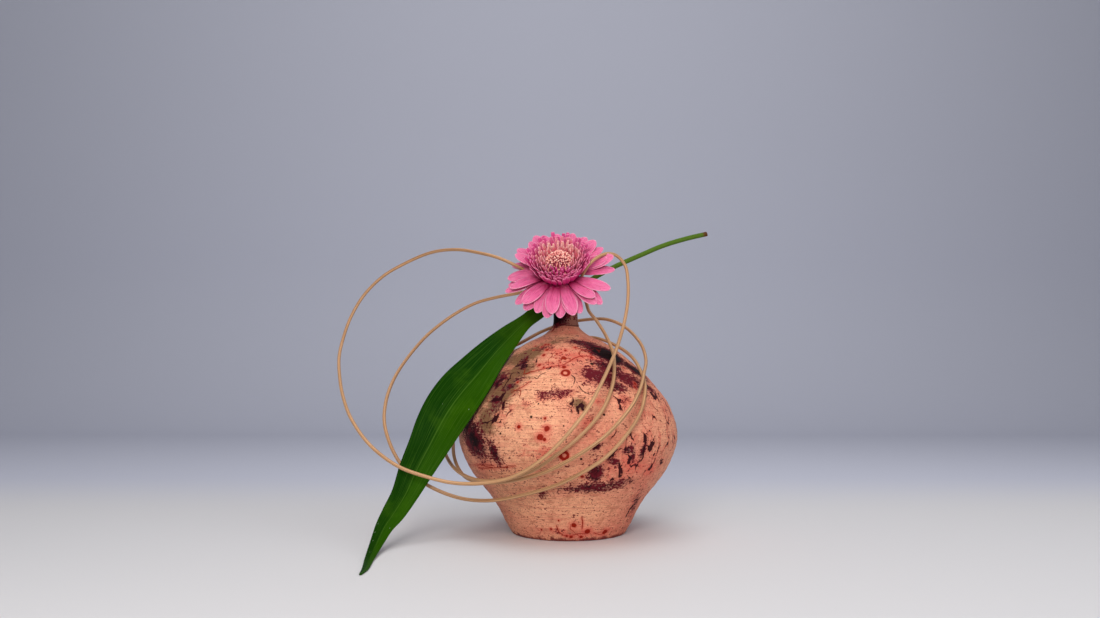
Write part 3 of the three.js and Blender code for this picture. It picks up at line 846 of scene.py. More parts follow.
PATCHES: dict[Mark, list[tuple[float, ...]]] = {
    Mark.SMOKE: [
        (-49, 162, 17, 10, -34, 2.2), (-30, 149, 16, 7, -45, 1.35), (-64, 171, 18, 7, -25, 1.05),
        (-145, 87, 20, 14, -35, 1.25), (-152, 97, 12, 9), (-130, 77, 5, 11, 15, 1.1),
        (-77, 62, 6, 10, 0, 1.1), (-77, 49, 28, 5.5, 3, 0.85), (-60, 53, 16, 4, 4, 0.65),
        (-128, 154, 4, 10, 20, 0.9), (-140, 138, 7, 9, -30, 0.9), (-30, 131, 10, 6, -30, 0.7),
        (-52, 80, 9, 2.6, 75), (-61, 81, 6, 3.4, 20, 0.9), (-58, 76, 2.6, 6, 0, 0.9),
        (-68, 71, 6, 3, -30, 0.9), (-78, 84, 5, 2.6, 30, 0.9), (-130, 116, 8, 12, -20, 0.5),
        # The patches from 203 to 215 mm high darken the top of the neck, under the flower, to purple-black.
        (-34, 31, 5, 14, 30, 0.5), (-68, 142, 17, 11, -10, 0.95), (-140, 205, 11, 13, 0, 2.4),
        (-46, 138, 16, 9, -22, 0.95), (-98, 127, 15, 5, 8, 0.6), (-58, 150, 14, 8, -20),
        (-52, 142, 10, 8, -20, 0.9), (-60, 133, 11, 6, -10, 0.85), (-128, 133, 7, 4, 30, 0.85),
        (-134, 122, 6, 5, -20, 0.8), (-124, 139, 6, 3, 10, 0.75), (-107, 46, 6, 10, -20, 0.45),
        (-165, 203, 8, 9, 0, 1.5), (-75, 215, 14, 7, 0, 0.9), (-35, 209, 8, 11, 0, 0.8),
        (60, 210, 16, 8, 0, 0.9), (130, 207, 14, 9, 0, 1.2), (70, 152, 24, 8, 20, 1.3),
        (128, 96, 14, 18, 30), (22, 72, 8, 14, -20, 0.8), (85, 46, 28, 4, -4, 0.8),
        (162, 150, 12, 8, 10, 0.8), (175, 70, 10, 6, 0, 0.7), (48, 116, 7, 12, 20, 0.7),
    ],
    Mark.SPECKLE: [
        (-70, 143, 18, 13, -15, 1.9), (-48, 139, 16, 11, -20, 1.9), (-59, 122, 7, 6, 0, 1.6),
        (-64, 134, 9, 5, 0, 1.4), (-104, 125, 8, 6, 10, 1.8), (-95, 127, 13, 6, 8, 1.8),
        (-113, 119, 6, 5, 0, 1.3), (-115, 168, 12, 6, 20, 1.5), (-95, 160, 12, 6, 10, 0.9),
        (-110, 151, 12, 5, 10, 0.8), (-82, 156, 10, 6, 0, 0.9), (-85, 145, 10, 8, 0, 0.7),
        (-62, 157, 14, 6, -20, 0.9), (-80, 5, 34, 6, 0, 0.8), (-107, 50, 5, 14, -10, 0.7),
        (-89, 43, 12, 5, 0, 0.7), (-60, 75, 18, 14, 0, 0.6), (-30, 115, 12, 18, 0, 0.6),
        (-128, 125, 9, 14, 0, 0.7), (-77, 60, 9, 10, 0, 0.7), (-140, 85, 20, 14, 0, 0.6),
        (30, 130, 16, 12, 10, 1.2), (95, 110, 12, 9, -30, 1.1), (150, 120, 14, 8, 20, 1.2),
        (60, 15, 30, 8, 0, 0.8), (175, 40, 12, 12, 0, 0.8), (110, 160, 18, 7, 0, 1.1),
        (10, 92, 12, 12, 0, 0.8),
    ],
    # Greenish-brown patches, mostly beside the leaf: partly a stain and partly the leaf's painted shadow
    # and green reflection.
    Mark.OLIVE_STAIN_AND_LEAF_SHADOW: [
        (-131, 160, 18, 12, 35, 1.4), (-150, 157, 14, 10, 20, 1.1), (-131, 128, 13, 22, -15, 1.5),
        (-136, 104, 10, 15, 40, 1.3), (-146, 130, 14, 24, -20, 1.5), (-85, 118, 7, 6, -35, 1.2),
        (-127, 147, 16, 12, 20, 1.2), (-112, 172, 14, 6, 20, 0.7), (-155, 110, 12, 18, -20, 0.7),
        (-98, 177, 9, 4, 0, 0.7), (-117, 140, 8, 4, 20, 0.5), (45, 100, 10, 16, 30, 0.8),
        (140, 140, 16, 9, 0, 0.8), (-10, 95, 6, 12, 0, 0.6), (100, 75, 8, 8, 0, 0.7),
        (-105, 40, 6, 5, 0, 0.4),
    ],
    Mark.STROKE: [
        (-62, 75, 14, 17, 0, 1.4), (-50, 82, 13, 14, 0, 1.4), (-40, 70, 14, 14, 0, 1.1),
        (-70, 95, 8, 5, 0, 0.7), (-35, 90, 14, 12), (-64, 57, 14, 5), (-24, 105, 10, 22, 0, 1.1),
        (-130, 120, 14, 20, 0, 1.5), (-138, 140, 10, 8, 0, 1.5), (-124, 152, 10, 9, 10, 1.4),
        (-30, 128, 12, 10, 0, 1.2), (-34, 28, 7, 16, 30, 0.8), (-104, 150, 16, 4, 10, 0.6),
        (-112, 78, 16, 6, 0, 0.5), (-55, 150, 14, 8, -20, 0.8), (10, 120, 14, 16, 0, 0.9), (75, 80, 18, 14),
        (135, 60, 16, 10, 10, 0.9), (170, 95, 12, 14, 0, 0.9), (50, 160, 12, 8, 0, 0.9),
        (-5, 50, 10, 14, 0, 0.7), (-75, 158, 10, 5, 0, 0.6), (100, 135, 12, 8, 0, 0.8),
        (-85, 118, 9, 8, 0, 1.1), (-45, 112, 14, 10), (-63, 120, 9, 7), (25, 95, 16, 12, 0, 1.2),
        (120, 110, 14, 16, 0, 1.2), (45, 50, 18, 8), (155, 140, 16, 8), (95, 55, 12, 12, 0, 0.9),
        (0, 75, 10, 18, 0, 1.1),
    ],
    Mark.BLUSH: [
        (-103, 79, 12, 7, 10, 0.8), (-111, 81, 8, 8, 0, 0.6), (-120, 116, 6, 5, 0, 0.6),
        (-75, 121, 7, 6, 0, 0.9), (-82, 103, 7, 8, -30, 0.8), (-101, 94, 9, 10, 0, 0.6),
        (-56, 68, 24, 12, -8, 0.8), (-42, 62, 14, 8, 0, 0.8), (-99, 165, 16, 6, 0, 0.9),
        (-84, 160, 18, 6, 0, 0.9), (-104, 153, 12, 5, 0, 0.7), (-66, 158, 14, 5, -20, 0.9),
        (-46, 138, 12, 6, -20, 0.9), (-90, 9, 50, 5, 0, 0.6), (40, 75, 24, 14, 10, 0.9),
        (110, 130, 20, 12, 0, 0.8), (150, 90, 16, 16, 0, 0.8), (90, 20, 50, 8, 0, 0.6),
        (0, 140, 14, 12, 0, 0.8), (-140, 66, 22, 4, 3, 0.6),
    ],
    Mark.CREAM: [
        (-113, 100, 36, 40, 0, 1.1), (-104, 135, 26, 18), (-137, 108, 18, 26, 0, 0.8), (-122, 42, 38, 34),
        (-84, 122, 18, 14, 0, 0.8), (-95, 60, 30, 16, 0, 0.6), (-85, 30, 44, 24, 0, 0.75),
        (-35, 100, 14, 30, 0, 0.5), (-95, 178, 16, 8, 0, 0.6), (60, 100, 44, 40, 0, 0.9),
        (130, 60, 30, 30, 0, 0.8), (165, 130, 24, 22, 0, 0.7),
    ],
    Mark.CRACK: [
        (-95, 160, 40, 8, 12, 0.7), (-120, 131, 8, 12, 0, 0.7), (-90, 8, 26, 8, 0, 0.8),
        (30, 150, 30, 12, 0, 0.9), (110, 30, 30, 12, 0, 0.8), (150, 105, 12, 16, 0, 0.9),
    ],
}
DOTS: Knots = [
    (-117, 171, 1.4), (-113, 171, 1.2), (-120, 169, 1.1), (-111, 166, 1.6), (-112, 161, 1.5),
    (-100, 162, 1.1), (-96, 163, 0.9), (-92, 165, 1.2), (-97, 156, 0.9), (-100, 158, 0.8), (-96, 154, 0.9),
    (-69, 159, 1.8), (-130, 170, 1.1), (-127, 166, 0.9), (-81, 168, 1.1), (-112, 152, 1.6),
    (-108, 150, 1.1), (-93, 150, 2.3), (-123, 137, 1.1), (-87, 15, 2.7), (-75, 9, 2.7), (-57, 7, 2.7),
    (-99, 19, 0.9), (-106, 11, 1.2), (-89, 4, 1.6), (-80, 4, 1.6), (-93, 5, 1.2), (-115, 10, 0.8),
    (-84, 59, 1.5), (-115, 100, 2.2), (-101, 99, 2.4), (-104, 92, 2.7), (-102, 90, 1.6), (-102, 107, 1.1),
    (-44, 136, 1.6), (-46, 133, 1.4), (-43, 150, 1.2), (60, 95, 2.6), (95, 140, 2.2), (150, 70, 2.6),
    (30, 60, 2), (120, 30, 2.4), (-5, 120, 2.2), (172, 120, 1.8), (80, 165, 1.8), (45, 8, 2.4),
    (130, 8, 2.2),
]
RINGS: Knots = [
    (-92, 145, 3.1), (-93, 77, 3.1), (75, 110, 3.3), (20, 92, 3),
]
INK_DOTS: Knots = [
    (-85, 74, 1.1), (-73, 110, 1.1), (-138, 61, 0.8), (-109, 108, 1.2), (-106, 119, 0.9), (-101, 139, 0.9),
    (-104, 107, 0.7), (-93, 101, 0.8), (-71, 153, 1.6), (-69, 104, 0.8), (-92, 88, 0.7), (-125, 94, 1.1),
    (-67, 107, 0.5), (15, 105, 1.1), (110, 90, 1), (160, 55, 1.2),
]
VEINS: list[Line] = [
    Line(0.5, [
        (-120, 144), (-117, 145), (-113, 147), (-109, 148), (-104, 150), (-99, 151),
        (-94, 152), (-89, 155), (-84, 158), (-78, 160), (-72, 160),
    ]),
    Line(0.5, [(-122, 148), (-121, 144), (-117, 146), (-112, 147)]),
    Line(0.45, [(-124, 128), (-121, 131), (-118, 133), (-115, 137)]),
    Line(0.5, [(-101, 14), (-99, 8), (-93, 5), (-82, 7), (-75, 7)]),
    Line(0.5, [(-81, 22), (-80, 17), (-80, 12)]),
    Line(0.4, [(-68, 7), (-60, 5), (-54, 9)]),
    Line(0.35, [(-167, 63), (-140, 66), (-119, 67)]),
    Line(0.3, [(-149, 62), (-134, 64), (-121, 66)]),
    Line(0.5, [(-82, 168), (-74, 166), (-68, 162)]),
    Line(0.9, [(-141, 189), (-137, 185)]),
]
SCRIBBLES: list[Line] = [
    Line(0.4, [(-112, 141), (-110, 140), (-109, 143), (-106, 145)]),
    Line(1.0, [(-126, 149), (-127, 154), (-128, 159)]),
    Line(0.9, [(-142, 136), (-139, 139), (-135, 141)]),
    Line(0.6, [(-138, 102), (-134, 103), (-129, 107)]),
    Line(1.0, [(-65, 69), (-64, 63), (-63, 58)]),
    Line(0.9, [(-31, 36), (-33, 30), (-36, 25), (-37, 19)]),
    Line(0.4, [(-88, 143), (-86, 140), (-87, 136)]),
    Line(0.4, [(-84, 133), (-82, 129), (-79, 127)]),
]


@dataclass
class Vase:
    """A thrown bottle vase with a clay strip wrapped round its neck, in millimetres and degrees."""

    outline: Outline = field(default_factory=lambda: [
        (52, 0), (53.5, 2), (58.5, 10), (64, 21), (72, 33.5), (81.5, 45), (90.5, 57), (97.5, 71),
        (101.5, 84), (101.5, 96), (98.5, 107.5), (93.3, 120), (84.4, 132), (74, 144.5), (60.6, 157),
        (48.5, 167), (36, 175), (24, 180.5), (16, 186), (12.2, 191), (11.2, 197), (11.2, 206), (12, 214.8),
    ])
    lip: Outline = field(default_factory=lambda: [
        (11.7, 215.5), (11.2, 215.9), (10.6, 216), (10.0, 215.9), (9.5, 215.5), (9.2, 214.8),
    ])
    foot: Outline = field(default_factory=lambda: [(0, 0), (20, 0), (40, 0), (50.6, 0)])
    top: float = 216
    wall: float = 5
    floor: float = 9
    floor_rise: float = 3
    floor_bend: Outline = field(default_factory=lambda: [(1.5, 1), (5, 0)])
    bore: float = 9.2
    bore_rise: float = 6
    bore_flare: float = 1.2
    neck_foot: float = 186
    neck_drop: float = 4
    neck_middle: float = 10.4
    skin_depth: float = 1.5
    lean: float = 3.2
    ridge: float = 0.11
    fine_ridge: float = 0.07
    fine_pace: float = 2.3
    set_in: float = 0.33
    ridge_rise: float = 0.9
    ridge_wind: float = 6
    ridge_band: tuple[float, float] = (2, 184)
    wrap_thick: float = 0.7
    wrap_edge: float = 0.9
    wrap_foot: float = 191
    wrap_dip: float = 1.6
    wrap_slant: float = 3.0
    wrap_reach: float = 3
    wrap_radius: float = 11.5
    wrap_middle: float = 337.5
    wrap_span: float = 175
    sides: int = 340
    steps: int = 10
    fading: float = 0.9
    line_reach: float = 50
    patches: dict[Mark, list[Patch]] = field(default_factory=lambda: {
        kind: [Patch(*row) for row in rows] for kind, rows in PATCHES.items()
    })
    dots: Knots = field(default_factory=lambda: DOTS)
    rings: Knots = field(default_factory=lambda: RINGS)
    ink_dots: Knots = field(default_factory=lambda: INK_DOTS)
    veins: list[Line] = field(default_factory=lambda: VEINS)
    scribbles: list[Line] = field(default_factory=lambda: SCRIBBLES)
    finish: ClayFinish = ClayFinish()

    def build(self) -> list[bpy.types.Object]:
        """Builds and dresses the vase.

        Returns:
            The vase.
        """
        points, faces = turned(self.profile(), self.sides)
        mesh = mesh_of("thrown_vase", self.by_hand(points), faces, self.marks(points))
        piece = linked("thrown_vase", mesh)
        spots = [
            [(self.spot(bearing, height), radius * MM) for bearing, height, radius in kind]
            for kind in (self.dots, self.rings, self.ink_dots)
        ]
        piece.data.materials.append(self.finish.material(*spots))
        return [dress(piece, "clay", "vase")]

    def skin(self) -> np.ndarray:
        """Radius and height along the outside, in metres."""
        return smooth_outline(self.outline, self.steps)

    def profile(self) -> np.ndarray:
        """Draws the section of the wall.

        Returns:
            Radius and height of each ring, outside upwards and inside down to the middle.
        """
        outside = self.skin()
        slope = unit(np.gradient(outside, axis=0))
        inside = outside + self.wall * MM * np.column_stack([-slope[:, 1], slope[:, 0]])
        above_floor = inside[:, 1] > (self.floor + self.floor_rise) * MM
        below_neck = outside[:, 1] < (self.neck_foot - self.neck_drop) * MM
        inside = inside[above_floor & below_neck][:: self.steps // 2 + 1][::-1]
        corner = inside[-1, 0] / MM
        bore = [(self.bore, self.neck_foot + self.bore_rise), (self.bore + self.bore_flare, self.neck_foot)]
        floor = [(corner - inwards, self.floor + up) for inwards, up in self.floor_bend] + [(0, self.floor)]
        foot, lip, bore, floor = (np.array(part) * MM for part in (self.foot, self.lip, bore, floor))
        return np.vstack([foot, outside[1:], lip, bore, inside, floor])

    def outer(self, points: np.ndarray) -> np.ndarray:
        """Finds the points on the outside.

        Args:
            points: points of the wall.

        Returns:
            Whether each one is on the outside.
        """
        radius = np.hypot(points[:, 0], points[:, 1])
        skin = self.skin()
        near_skin = radius > np.interp(points[:, 2], skin[:, 1], skin[:, 0]) - self.skin_depth * MM
        return near_skin & (radius > self.neck_middle * MM)

    def on_strip(self, points: np.ndarray) -> np.ndarray:
        """Measures where the strip round the neck is.

        Args:
            points: points of the wall.

        Returns:
            How far inside the strip's edge each one is, in millimetres, within the strip's reach.
        """
        past = (np.degrees(np.arctan2(points[:, 1], points[:, 0])) - self.wrap_middle + 180) % 360 - 180
        share = np.clip(past / self.wrap_span + 0.5, 0, 1)
        foot = self.wrap_foot - self.wrap_dip * np.sin(share * np.pi) + self.wrap_slant * share**2
        from_end = (self.wrap_span / 2 - np.abs(past)) * DEGREE * self.wrap_radius
        inside = np.minimum(points[:, 2] / MM - foot, from_end)
        inside = np.clip(inside, -self.wrap_reach, self.wrap_reach)
        return np.where(self.outer(points), inside, -self.wrap_reach)

    def by_hand(self, points: np.ndarray) -> np.ndarray:
        """Gives the turned wall what the hand leaves: throwing ridges, the strip and a leaning neck.

        Args:
            points: points of the wall.

        Returns:
            The moved points.
        """
        x, y, z = points.T
        phase = z / MM * self.ridge_rise + np.arctan2(y, x) / DEGREE / 360 * self.ridge_wind
        fine = self.fine_ridge * np.sin(self.fine_pace * phase + 1.0)
        ridge = self.ridge * np.sin(phase) + fine - self.set_in
        low, high = self.ridge_band
        grown = np.where(self.outer(points) & (z > low * MM) & (z < high * MM), ridge, 0.0)
        grown = grown + self.wrap_thick * np.clip(self.on_strip(points) / self.wrap_edge + 0.5, 0, 1)
        scale = 1 + grown * MM / np.maximum(np.hypot(x, y), 0.001 * MM)
        return np.column_stack([x * scale - self.lean * MM * (z / (self.top * MM)) ** 2, y * scale, z])

    def spot(self, bearing: float, height: float) -> Vector:
        """Finds a place on the finished outside.

        Args:
            bearing: its bearing, in degrees.
            height: its height, in millimetres.

        Returns:
            The place, in metres.
        """
        skin = self.skin()
        radius = np.interp(height * MM, skin[:, 1], skin[:, 0])
        lean = self.lean * MM * (height / self.top) ** 2
        x, y = radius * math.cos(bearing * DEGREE), radius * math.sin(bearing * DEGREE)
        return Vector((x - lean, y, height * MM))

    def marks(self, points: np.ndarray) -> dict[str, np.ndarray]:
        """Works out how strong each kind of mark is, and how far the lines are.

        Args:
            points: the vase's points before the hand-made differences.

        Returns:
            Numbers for each point, by name.
        """
        skin = self.skin()
        run = run_along(skin)
        bearing = np.degrees(np.arctan2(points[:, 1], points[:, 0]))
        along = np.interp(points[:, 2], skin[:, 1], run)
        radius = np.hypot(points[:, 0], points[:, 1])
        numbers = {"wrap": self.on_strip(points)}
        for kind, patches in self.patches.items():
            strength = np.zeros(len(points))
            for patch in patches:
                level = ((bearing - patch.bearing + 180) % 360 - 180) * DEGREE * radius
                rise = along - np.interp(patch.height * MM, skin[:, 1], run)
                c, s = math.cos(patch.turn * DEGREE), math.sin(patch.turn * DEGREE)
                u = (level * c + rise * s) / (patch.wide * MM)
                v = (rise * c - level * s) / (patch.tall * MM)
                strength = np.maximum(strength, patch.strength * np.exp(-self.fading * (u**2 + v**2)))
            numbers[kind.value] = strength
        placed = self.by_hand(points)
        for kind, lines in ((Drawn.VEIN, self.veins), (Drawn.INK, self.scribbles)):
            near, side = self.beside_lines(placed, lines)
            numbers |= {kind.value + "_near": near, kind.value + "_side": side}
        return numbers

    def beside_lines(self, points: np.ndarray, lines: list[Line]) -> tuple[np.ndarray, np.ndarray]:
        """Measures how far each point is from the nearest line.

        Args:
            points: the finished points.
            lines: the lines.

        Returns:
            The distance in millimetres, and in half widths with a sign for the side.
        """
        near, side = np.full(len(points), FAR), np.full(len(points), FAR)
        for line in lines:
            path = smooth_route([tuple(self.spot(*bend) / MM) for bend in line.bends], 3)
            close = np.where(np.linalg.norm(points - path.mean(axis=0), axis=1) < self.line_reach * MM)[0]
            spots = points[close]
            for start, end in zip(path, path[1:]):
                step = end - start
                share = np.clip((spots - start) @ step / (step @ step), 0, 1)
                gap = spots - start - share[:, None] * step
                across = np.cross(start * (1, 1, 0), step)
                off = np.linalg.norm(gap, axis=1) / MM
                nearer = off < near[close]
                near[close[nearer]] = off[nearer]
                side[close[nearer]] = (off / line.width * np.sign(gap @ across))[nearer]
        return near, side


@dataclass(frozen=True)
class WaterFinish:
    """Clear water with a faint tint and a slightly rippled top."""

    tint: Colour = (0.86, 0.95, 0.94)
    clear: Colour = (0.94, 0.98, 0.97)

    def material(self) -> bpy.types.Material:
        """Makes the water.

        Returns:
            The material.
        """
        s = Surface("clear_water")
        ripple = s.noise(s.place(), 60.0, 2.0)
        s.colour = s.mix(ripple + 0.5, self.tint, self.clear)
        fixed = {"Transmission Weight": 1.0, "IOR": 1.33}
        return s.finish(0.03 + 0.02 * ripple, s.bump(ripple, 0.4 * MM, 0.3), fixed)


@dataclass
class Water:
    """The water in the vase, whose solid already has the right shape."""

    node: str = "water"
    finish: WaterFinish = WaterFinish()

    def build(self) -> list[bpy.types.Object]:
        """Gives the solid its finish.

        Returns:
            The water.
        """
        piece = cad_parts[self.node]
        piece.data.materials.clear()
        piece.data.materials.append(self.finish.material())
        return [piece]


@dataclass(frozen=True)
class LeafFinish:
    """A waxy leaf with fine veins, painted darker as shade on one side of its midrib and lighter as lit on
    the other.
    """

    # The blade's shaded and lit halves: painted shade and painted light on one green; the darker one also
    # colours the fine veins.
    dark: Colour = (0.004, 0.031, 0.0005)
    light: Colour = (0.016, 0.064, 0.0005)
    throat: Colour = (0.042, 0.115, 0.003)
    stalk: Colour = (0.080, 0.145, 0.018)
    rib: Colour = (0.060, 0.140, 0.015)
    cut: Colour = (0.10, 0.04, 0.015)
    fleck: Colour = (0.75, 0.85, 0.65)
    relief: float = 0.5 * MM
    gloss: float = 0.01

    def material(self) -> bpy.types.Material:
        """Makes the leaf's skin.

        Returns:
            The material.
        """
        s = Surface("waxy_leaf")
        along, across = s.attribute("along"), s.attribute("across")
        vein = s.noise(s.combine(along * 9.0, across * 26.0, 0.0), 1.0, 3.0, 0.6)
        fine = s.noise(s.combine(along * 14.0, across * 95.0, 3.0), 1.0, 2.0, 0.5)
        mottle = s.noise(s.place(), 45.0)
        blade = s.step(along, 0.72, 0.6)
        rib = s.step(s.math("ABSOLUTE", across - 0.02), 0.035, 0.008) * blade
        off, chance = s.cells(s.combine(along * 60.0, across * 9.0, 0.0), 1.0)
        fleck = s.step(off, 0.13, 0.07) * s.step(chance, 0.93, 0.95) * blade
        # Painted shade and light: the half on one side of the midrib is darker, as in shade, and the other
        # lighter, as lit.
        s.colour = s.mix(s.step(across + 0.08 * mottle, -0.25, 0.3), self.dark, self.light)
        s.lay(self.throat, 1.0, along, 0.52, 0.7)
        s.lay(self.stalk, 1.0, along, 0.68, 0.78)
        s.coat(self.rib, 0.5 * s.step(vein, -0.05, 0.25) * blade)
        s.lay(self.dark, 0.35, fine, 0.0, -0.2)
        s.coat(self.rib, 0.6 * rib)
        s.coat(self.fleck, 0.6 * fleck)
        s.lay(self.throat, 0.3, mottle, 0.0, 0.25)
        s.lay(self.cut, 1.0, along, 0.988, 0.996)
        roughness = 0.40 + 0.14 * vein + 0.1 * mottle
        height = 0.6 * vein + 0.35 * fine + 0.5 * rib
        return s.finish(roughness, s.bump(height, self.relief, 0.5), {"Specular IOR Level": self.gloss})


@dataclass
class LongLeaf:
    """One arching leaf, in millimetres: its blade from the tip to the throat, and its stalk."""

    left: Knots = field(default_factory=lambda: [
        (-152, -183, 0.9), (-154, -166, 0.9), (-159, -134, 2.2), (-161, -106, 10), (-160, -90, 21),
        (-157, -76, 32), (-152, -66, 45), (-147, -59, 66), (-140, -54, 87), (-134, -48, 107),
        (-126, -42, 125), (-114, -33, 143), (-97, -24, 160), (-79, -15, 176), (-62, -7, 189),
        (-44, 0, 201), (-31, 4, 212), (-17, 9.5, 222), (-4, 14, 229),
    ])
    right: Knots = field(default_factory=lambda: [
        (-150, -183, 0.9), (-149, -167, 0.9), (-152, -130, 1.6), (-151, -102, 7), (-147, -88, 15),
        (-140, -76, 23), (-130, -67, 38), (-119, -59, 56), (-106, -55, 76), (-94, -56, 94),
        (-87, -59, 104), (-79, -60, 116), (-70, -54, 131), (-61, -40, 149), (-50, -18, 168),
        (-36, -3, 189), (-24, 5, 199), (-11, 11, 211), (0, 15, 221),
    ])
    stalk: Knots = field(default_factory=lambda: [
        (12, 20, 232), (28, 23, 241), (44, 25, 250), (72, 28, 263), (97, 32, 274), (122, 36, 282),
        (140.8, 40, 286.9),
    ])
    blade_thick: float = 0.9
    stalk_radius: float = 2.35
    stalk_side: tuple[float, float, float] = (0.35, 0.0, -0.94)
    keel: float = 0.06
    keel_start: float = 9
    crease: float = 1.2
    boxy: float = 0.45
    merging: int = 4
    merged: float = 0.999
    steps: int = 12
    loop: int = 40
    finish: LeafFinish = LeafFinish()

    def build(self) -> list[bpy.types.Object]:
        """Builds and dresses the leaf as one closed skin, from the tip to the stalk's cut end.

        Returns:
            The leaf.
        """
        left, right = self.edges()
        middle, half = (left + right) / 2, (right - left) / 2
        along = run_along(middle)
        along /= along[-1]
        sides = np.cos(np.arange(self.loop) * 2 * np.pi / self.loop)
        numbers = {"along": np.repeat(along, self.loop), "across": np.tile(sides, len(middle))}
        mesh = mesh_of("long_leaf", self.rings(middle, half, along), self.faces(len(middle)), numbers)
        mesh.materials.append(self.finish.material())
        return [dress(linked("long_leaf", mesh), "leaf_green", "leaf")]

    def edges(self) -> list[np.ndarray]:
        """Draws the two edges of the blade, which go on along the two sides of the stalk.

        Returns:
            The points of each edge, in metres.
        """
        reach = Vector(self.stalk_side).normalized() * self.stalk_radius
        sides = ([tuple(Vector(knot) + way * reach) for knot in self.stalk] for way in (-1, 1))
        blades = (self.left, self.right)
        return [smooth_route(blade + side, self.steps) for blade, side in zip(blades, sides)]

    def roundness(self, count: int) -> np.ndarray:
        """Works out how the blade's section turns into the stalk's.

        Args:
            count: how many rings the leaf has.

        Returns:
            How much of the stalk's round section each ring has, from 0 to 1.
        """
        share = np.arange(count) / self.steps
        share = np.clip((share - (len(self.left) - self.merging)) / self.merging, 0, 1)
        return share**2 * (3 - 2 * share)

    def rings(self, middle: np.ndarray, half: np.ndarray, along: np.ndarray) -> np.ndarray:
        """Makes the rings of points round the leaf.

        Args:
            middle: each ring's middle.
            half: from each middle to the right-hand edge.
            along: how far along the leaf each ring is, from 0 to 1.

        Returns:
            The points, ring by ring.
        """
        half_width = np.linalg.norm(half, axis=1)
        away = unit(np.cross(unit(np.gradient(middle, axis=0)), half / half_width[:, None]))
        stalk = self.roundness(len(middle))
        thick = (self.blade_thick / 2 * (1 - stalk) + self.stalk_radius * stalk) * MM
        narrow = np.minimum(1, self.stalk_radius * MM / half_width) - 1
        half = half * (1 + narrow * (stalk > self.merged))[:, None]
        angles = np.arange(self.loop) * 2 * np.pi / self.loop
        side, rise = np.cos(angles), np.sin(angles)
        rings = []
        for i in range(len(middle)):
            up = np.sign(rise) * np.abs(rise) ** (self.boxy + (1 - self.boxy) * stalk[i])
            keel = self.keel * 2 * half_width[i] * (1 - stalk[i]) * min(1, along[i] * self.keel_start)
            crease = keel * (1 - np.abs(side)) ** self.crease
            rings.append(middle[i] + np.outer(side, half[i]) + np.outer(up * thick[i] + crease, away[i]))
        return np.vstack(rings)

    def faces(self, count: int) -> list[tuple[int, ...]]:
        """Makes the faces between the rings, and one over each end.

        Args:
            count: how many rings the leaf has.

        Returns:
            The point numbers of each face.
        """
        last = (count - 1) * self.loop
        sides = [(k, (k + 1) % self.loop) for k in range(self.loop)]
        faces = [
            (low + k, low + self.loop + k, low + self.loop + n, low + n)
            for low in range(0, last, self.loop)
            for k, n in sides
        ]
        return faces + [tuple(range(self.loop)), tuple(last + k for k in reversed(range(self.loop)))]


@dataclass(frozen=True)
class CaneFinish:
    """Dry tan cane with fine lengthwise grain."""

    pale: Colour = (0.60, 0.335, 0.165)
    deep: Colour = (0.11, 0.046, 0.016)
    tan: Colour = (0.34, 0.170, 0.075)
    relief: float = 0.4 * MM
    gloss: float = 0.35

    def material(self) -> bpy.types.Material:
        """Makes the cane.

        Returns:
            The material.
        """
        s = Surface("dry_cane")
        along, around = s.attribute("along"), s.attribute("around") * (2 * math.pi)
        ring = s.combine(s.math("COSINE", around), s.math("SINE", around), along * 4.0)
        fibre = s.noise(s.stretched(ring, (3.2, 3.2, 1.5)), 1.0, 4.0, 0.65)
        drift = s.noise(s.combine(along * 16.0, 0.0, 0.0), 1.0, 2.0)
        s.colour = s.mix(s.step(fibre, -0.15, 0.18), self.tan, self.pale)
        s.lay(self.tan, 0.6, drift, 0.0, 0.25)
        s.lay(self.deep, 0.75, fibre, -0.05, -0.22)
        fixed = {"Specular IOR Level": self.gloss}
        return s.finish(0.40 + 0.2 * fibre, s.bump(fibre, self.relief, 0.6), fixed)


@dataclass(frozen=True)
class StemFinish:
    """A soft green stem, calyx and bracts, with fine lengthwise hairs."""

    pale: Colour = (0.30, 0.43, 0.13)
    deep: Colour = (0.10, 0.21, 0.04)
    tip: Colour = (0.24, 0.12, 0.08)
    hair: Colour = (0.48, 0.58, 0.30)
    relief: float = 0.3 * MM

    def material(self) -> bpy.types.Material:
        """Makes the stem's skin.

        Returns:
            The material.
        """
        s = Surface("stem_skin")
        place = s.place()
        mottle = s.noise(place, 160.0)
        hair = s.noise(s.stretched(place, (1.0, 1.0, 0.12)), 1400.0, 2.0)
        s.colour = s.mix(s.step(mottle, -0.2, 0.2), self.deep, self.pale)
        s.lay(self.hair, 0.4, hair, -0.05, 0.2)
        s.coat(self.tip, s.step(s.attribute("along"), 0.7, 1.0) * s.attribute("leafy"))
        return s.finish(0.55 + 0.2 * mottle, s.bump(hair, self.relief, 0.5), {"Sheen Weight": 0.2})


